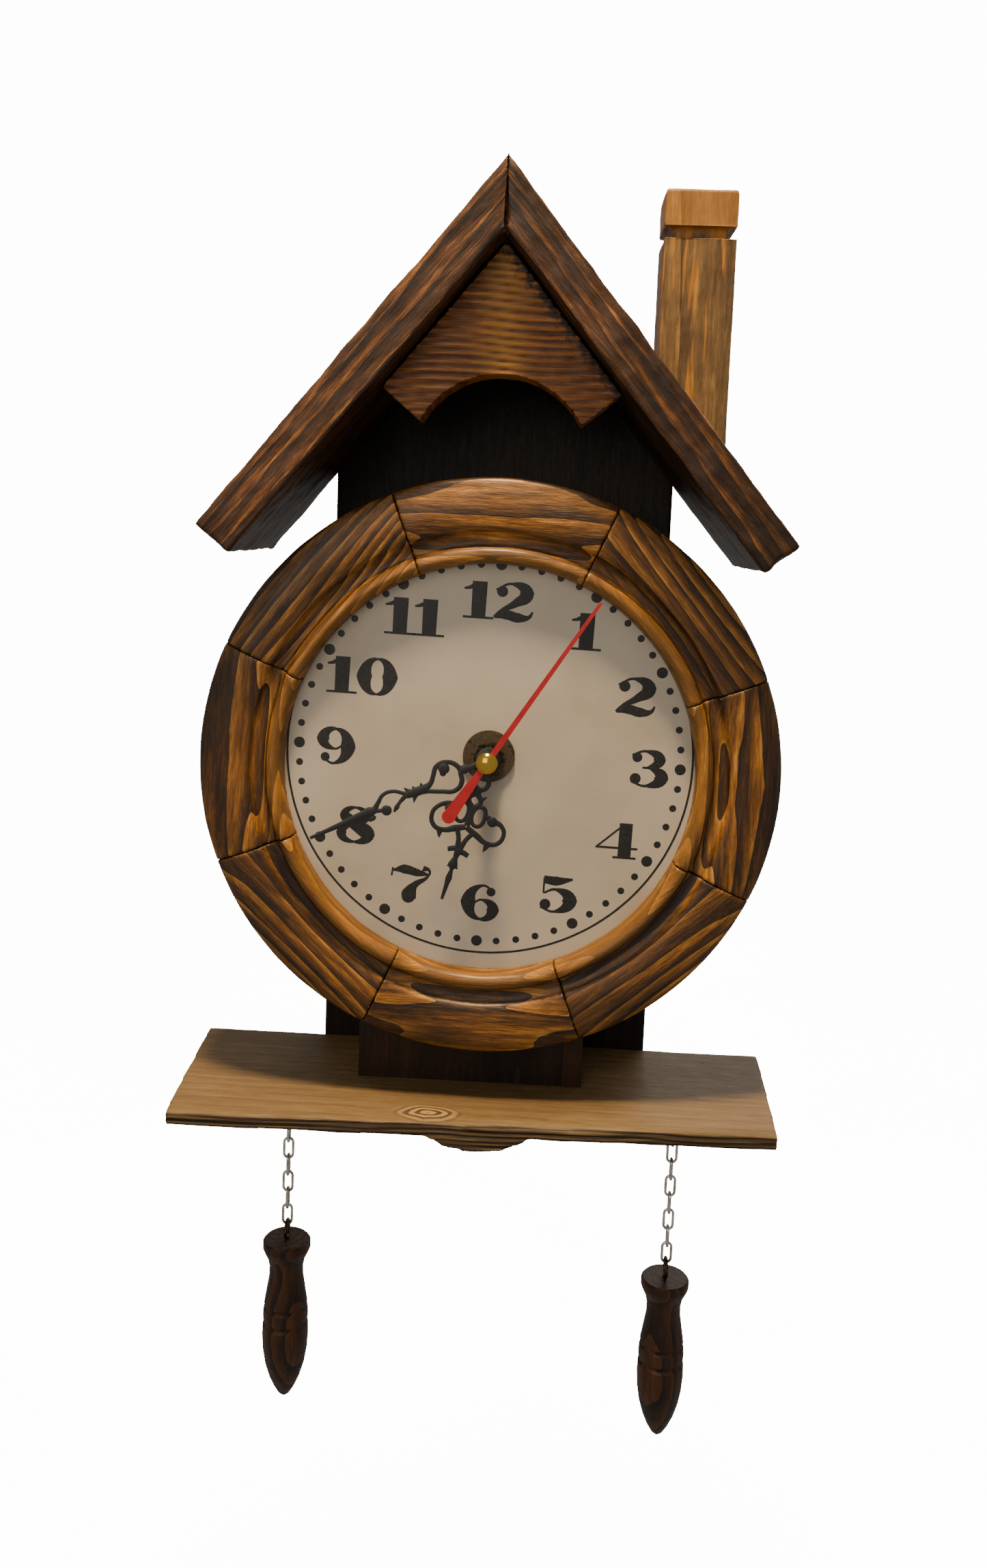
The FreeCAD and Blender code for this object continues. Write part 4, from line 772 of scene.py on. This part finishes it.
board_green, tree, shader = new_surface("lacquered_circuit_board", Roughness=0.35, Coat_Weight=0.3)
place = add(tree, "ShaderNodeTexCoord")
# Tracks show through the lacquer as paler bands two millimetres apart.
tracks = add(tree, "ShaderNodeTexWave", {"Vector": place.outputs["Object"], "Scale": 0.314 / 0.002,
                                         "Distortion": 3.0}, wave_type="BANDS", bands_direction="Z")
tone = add(tree, "ShaderNodeValToRGB", {"Fac": tracks.outputs["Fac"]},
           stops=[(0.6, "174D26"), (0.8, "2C7A3E")])
tree.links.new(tone.outputs["Color"], shader.inputs["Base Color"])
coat(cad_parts["circuit_board"], board_green)

cell_sleeve, tree, shader = new_surface("printed_cell_sleeve", Roughness=0.3, Coat_Weight=0.5)
place = add(tree, "ShaderNodeTexCoord")
# A plain dark sleeve with a copper-coloured band towards the positive end.
cell_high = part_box("battery")[1]
split = add(tree, "ShaderNodeSeparateXYZ", {"Vector": place.outputs["Object"]})
band = add(tree, "ShaderNodeMapRange", {"Value": split.outputs["X"], "From Min": cell_high[0] - 15 * mm,
                                        "From Max": cell_high[0] - 14.8 * mm})
tone = add(tree, "ShaderNodeValToRGB", {"Fac": band.outputs[0]}, stops=[(0.4, "1C1D20"), (0.6, "B0743A")])
tree.links.new(tone.outputs["Color"], shader.inputs["Base Color"])
coat(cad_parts["battery"], cell_sleeve)

# ---- Hooks and chains ----
# Nickel-plated steel wire, bent to oval links and to screw hooks, a little dulled.

# Dulled patches a millimetre or two long.
chain_nickel = mottled("nickel_plated_wire", 600.0, 3.0, [(0.35, "E4DFD4"), (0.65, "B0A898")],
                       (0.18, 0.42), Metallic=1.0)[0]
for name in ("chain_hook_left", "chain_hook_right", "top_link_left", "top_link_right", "chain_links_left",
             "chain_links_right"):
    coat(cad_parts[name], chain_nickel)

# ---- Weights ----
# Turned pine cones, stained dark and varnished, each with a bronzed screw eye in its top.
# The lathe left fine rings, and the stain took unevenly.

# The finish is rubbed through in spots about a millimetre across.
eye_bronze = mottled("bronzed_wire", 800.0, 3.0, [(0.4, "3A2A1C"), (0.75, "6B5238")],
                     (0.35, 0.55), Metallic=1.0)[0]

weight_tones = [(0.08, "54300F"), (0.38, "3C2009"), (0.66, "241205"), (0.92, "120903")]
for side_name, pith_x in (("left", -0.079), ("right", 0.083)):
    coat(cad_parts["weight_eye_" + side_name], eye_bronze)
    turned_pine = pine("turned_stained_pine_" + side_name, upright, (pith_x, -0.047, 0.0), 0.0030,
                       weight_tones, "0E0703", 0.5, 0.08, 0.0003)
    coat(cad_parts["weight_" + side_name], turned_pine)

# ---- Room ----
# A plain pale floor well below the weights and a white sweep all round, soft daylight, one warm
# lamp high up and a little in front, and two weak broad lamps that lift the shadows.

bpy.ops.object.select_all(action="DESELECT")
bpy.ops.mesh.primitive_plane_add(size=12.0, location=(0.0, 0.0, -0.62))
floor = bpy.context.active_object
floor.name = "pale_floor"
bpy.ops.mesh.primitive_uv_sphere_add(segments=48, ring_count=24, radius=6.5, location=(0.0, 0.0, -0.1))
sweep = bpy.context.active_object
sweep.name = "white_sweep"
bpy.ops.object.mode_set(mode="EDIT")
bpy.ops.mesh.flip_normals()
bpy.ops.object.mode_set(mode="OBJECT")
lit_white, tree, shader = new_surface("lit_white_paint", Roughness=0.9, Emission_Strength=14.0)
place = add(tree, "ShaderNodeTexCoord")
cloudy = add(tree, "ShaderNodeTexNoise", {"Vector": place.outputs["Object"], "Scale": 3.0, "Detail": 2.0})
tone = add(tree, "ShaderNodeValToRGB", {"Fac": cloudy.outputs["Fac"]},
           stops=[(0.3, "FFFFFF"), (0.7, "FBFBFA")])
tree.links.new(tone.outputs["Color"], shader.inputs["Base Color"])
tree.links.new(tone.outputs["Color"], shader.inputs["Emission Color"])
for surround in (floor, sweep):
    # They are lit so that they look white, and throw no light of their own on the clock.
    surround.data.materials.append(lit_white)
    surround.visible_diffuse = False
    surround.visible_glossy = False
    surround.visible_shadow = False

daylight = bpy.data.worlds.new("daylight")
daylight.use_nodes = True
daylight.node_tree.nodes["Background"].inputs["Color"].default_value = (1.0, 0.97, 0.92, 1.0)
daylight.node_tree.nodes["Background"].inputs["Strength"].default_value = 0.34
bpy.context.scene.world = daylight


def lamp(name, place, target, size, power, code):
    """A square lamp turned to a target, with its size in metres and its power in watts."""
    bulb = bpy.data.lights.new(name, "AREA")
    bulb.size = size
    bulb.energy = power
    bulb.color = linear(code)[:3]
    stand = bpy.data.objects.new(name, bulb)
    stand.location = place
    stand.rotation_euler = (Vector(target) - Vector(place)).to_track_quat("-Z", "Y").to_euler()
    bpy.context.scene.collection.objects.link(stand)


lamp("ceiling_lamp", (-0.03, -0.28, 0.80), (0.0, -0.06, -0.15), 0.12, 24.0, "FFE0B0")
lamp("back_fill", (0.5, 1.2, 0.5), (0.0, 0.0, -0.12), 1.0, 6.0, "FFF4E6")
lamp("front_fill", (-0.4, -1.2, 0.35), (0.0, -0.05, -0.15), 0.9, 5.5, "FFF1DE")

eye = bpy.data.cameras.new("viewer")
eye.sensor_fit = "VERTICAL"
eye.sensor_height = 36.0
eye.lens = 29.46
eye.shift_y = -0.0645
eye.clip_start = 0.01
viewer = bpy.data.objects.new("viewer", eye)
viewer.location = (0.01839, -0.52571, -0.03830)
viewer.rotation_euler = (math.radians(83.27), math.radians(-2.12), math.radians(2.435))
bpy.context.scene.collection.objects.link(viewer)
bpy.context.scene.camera = viewer
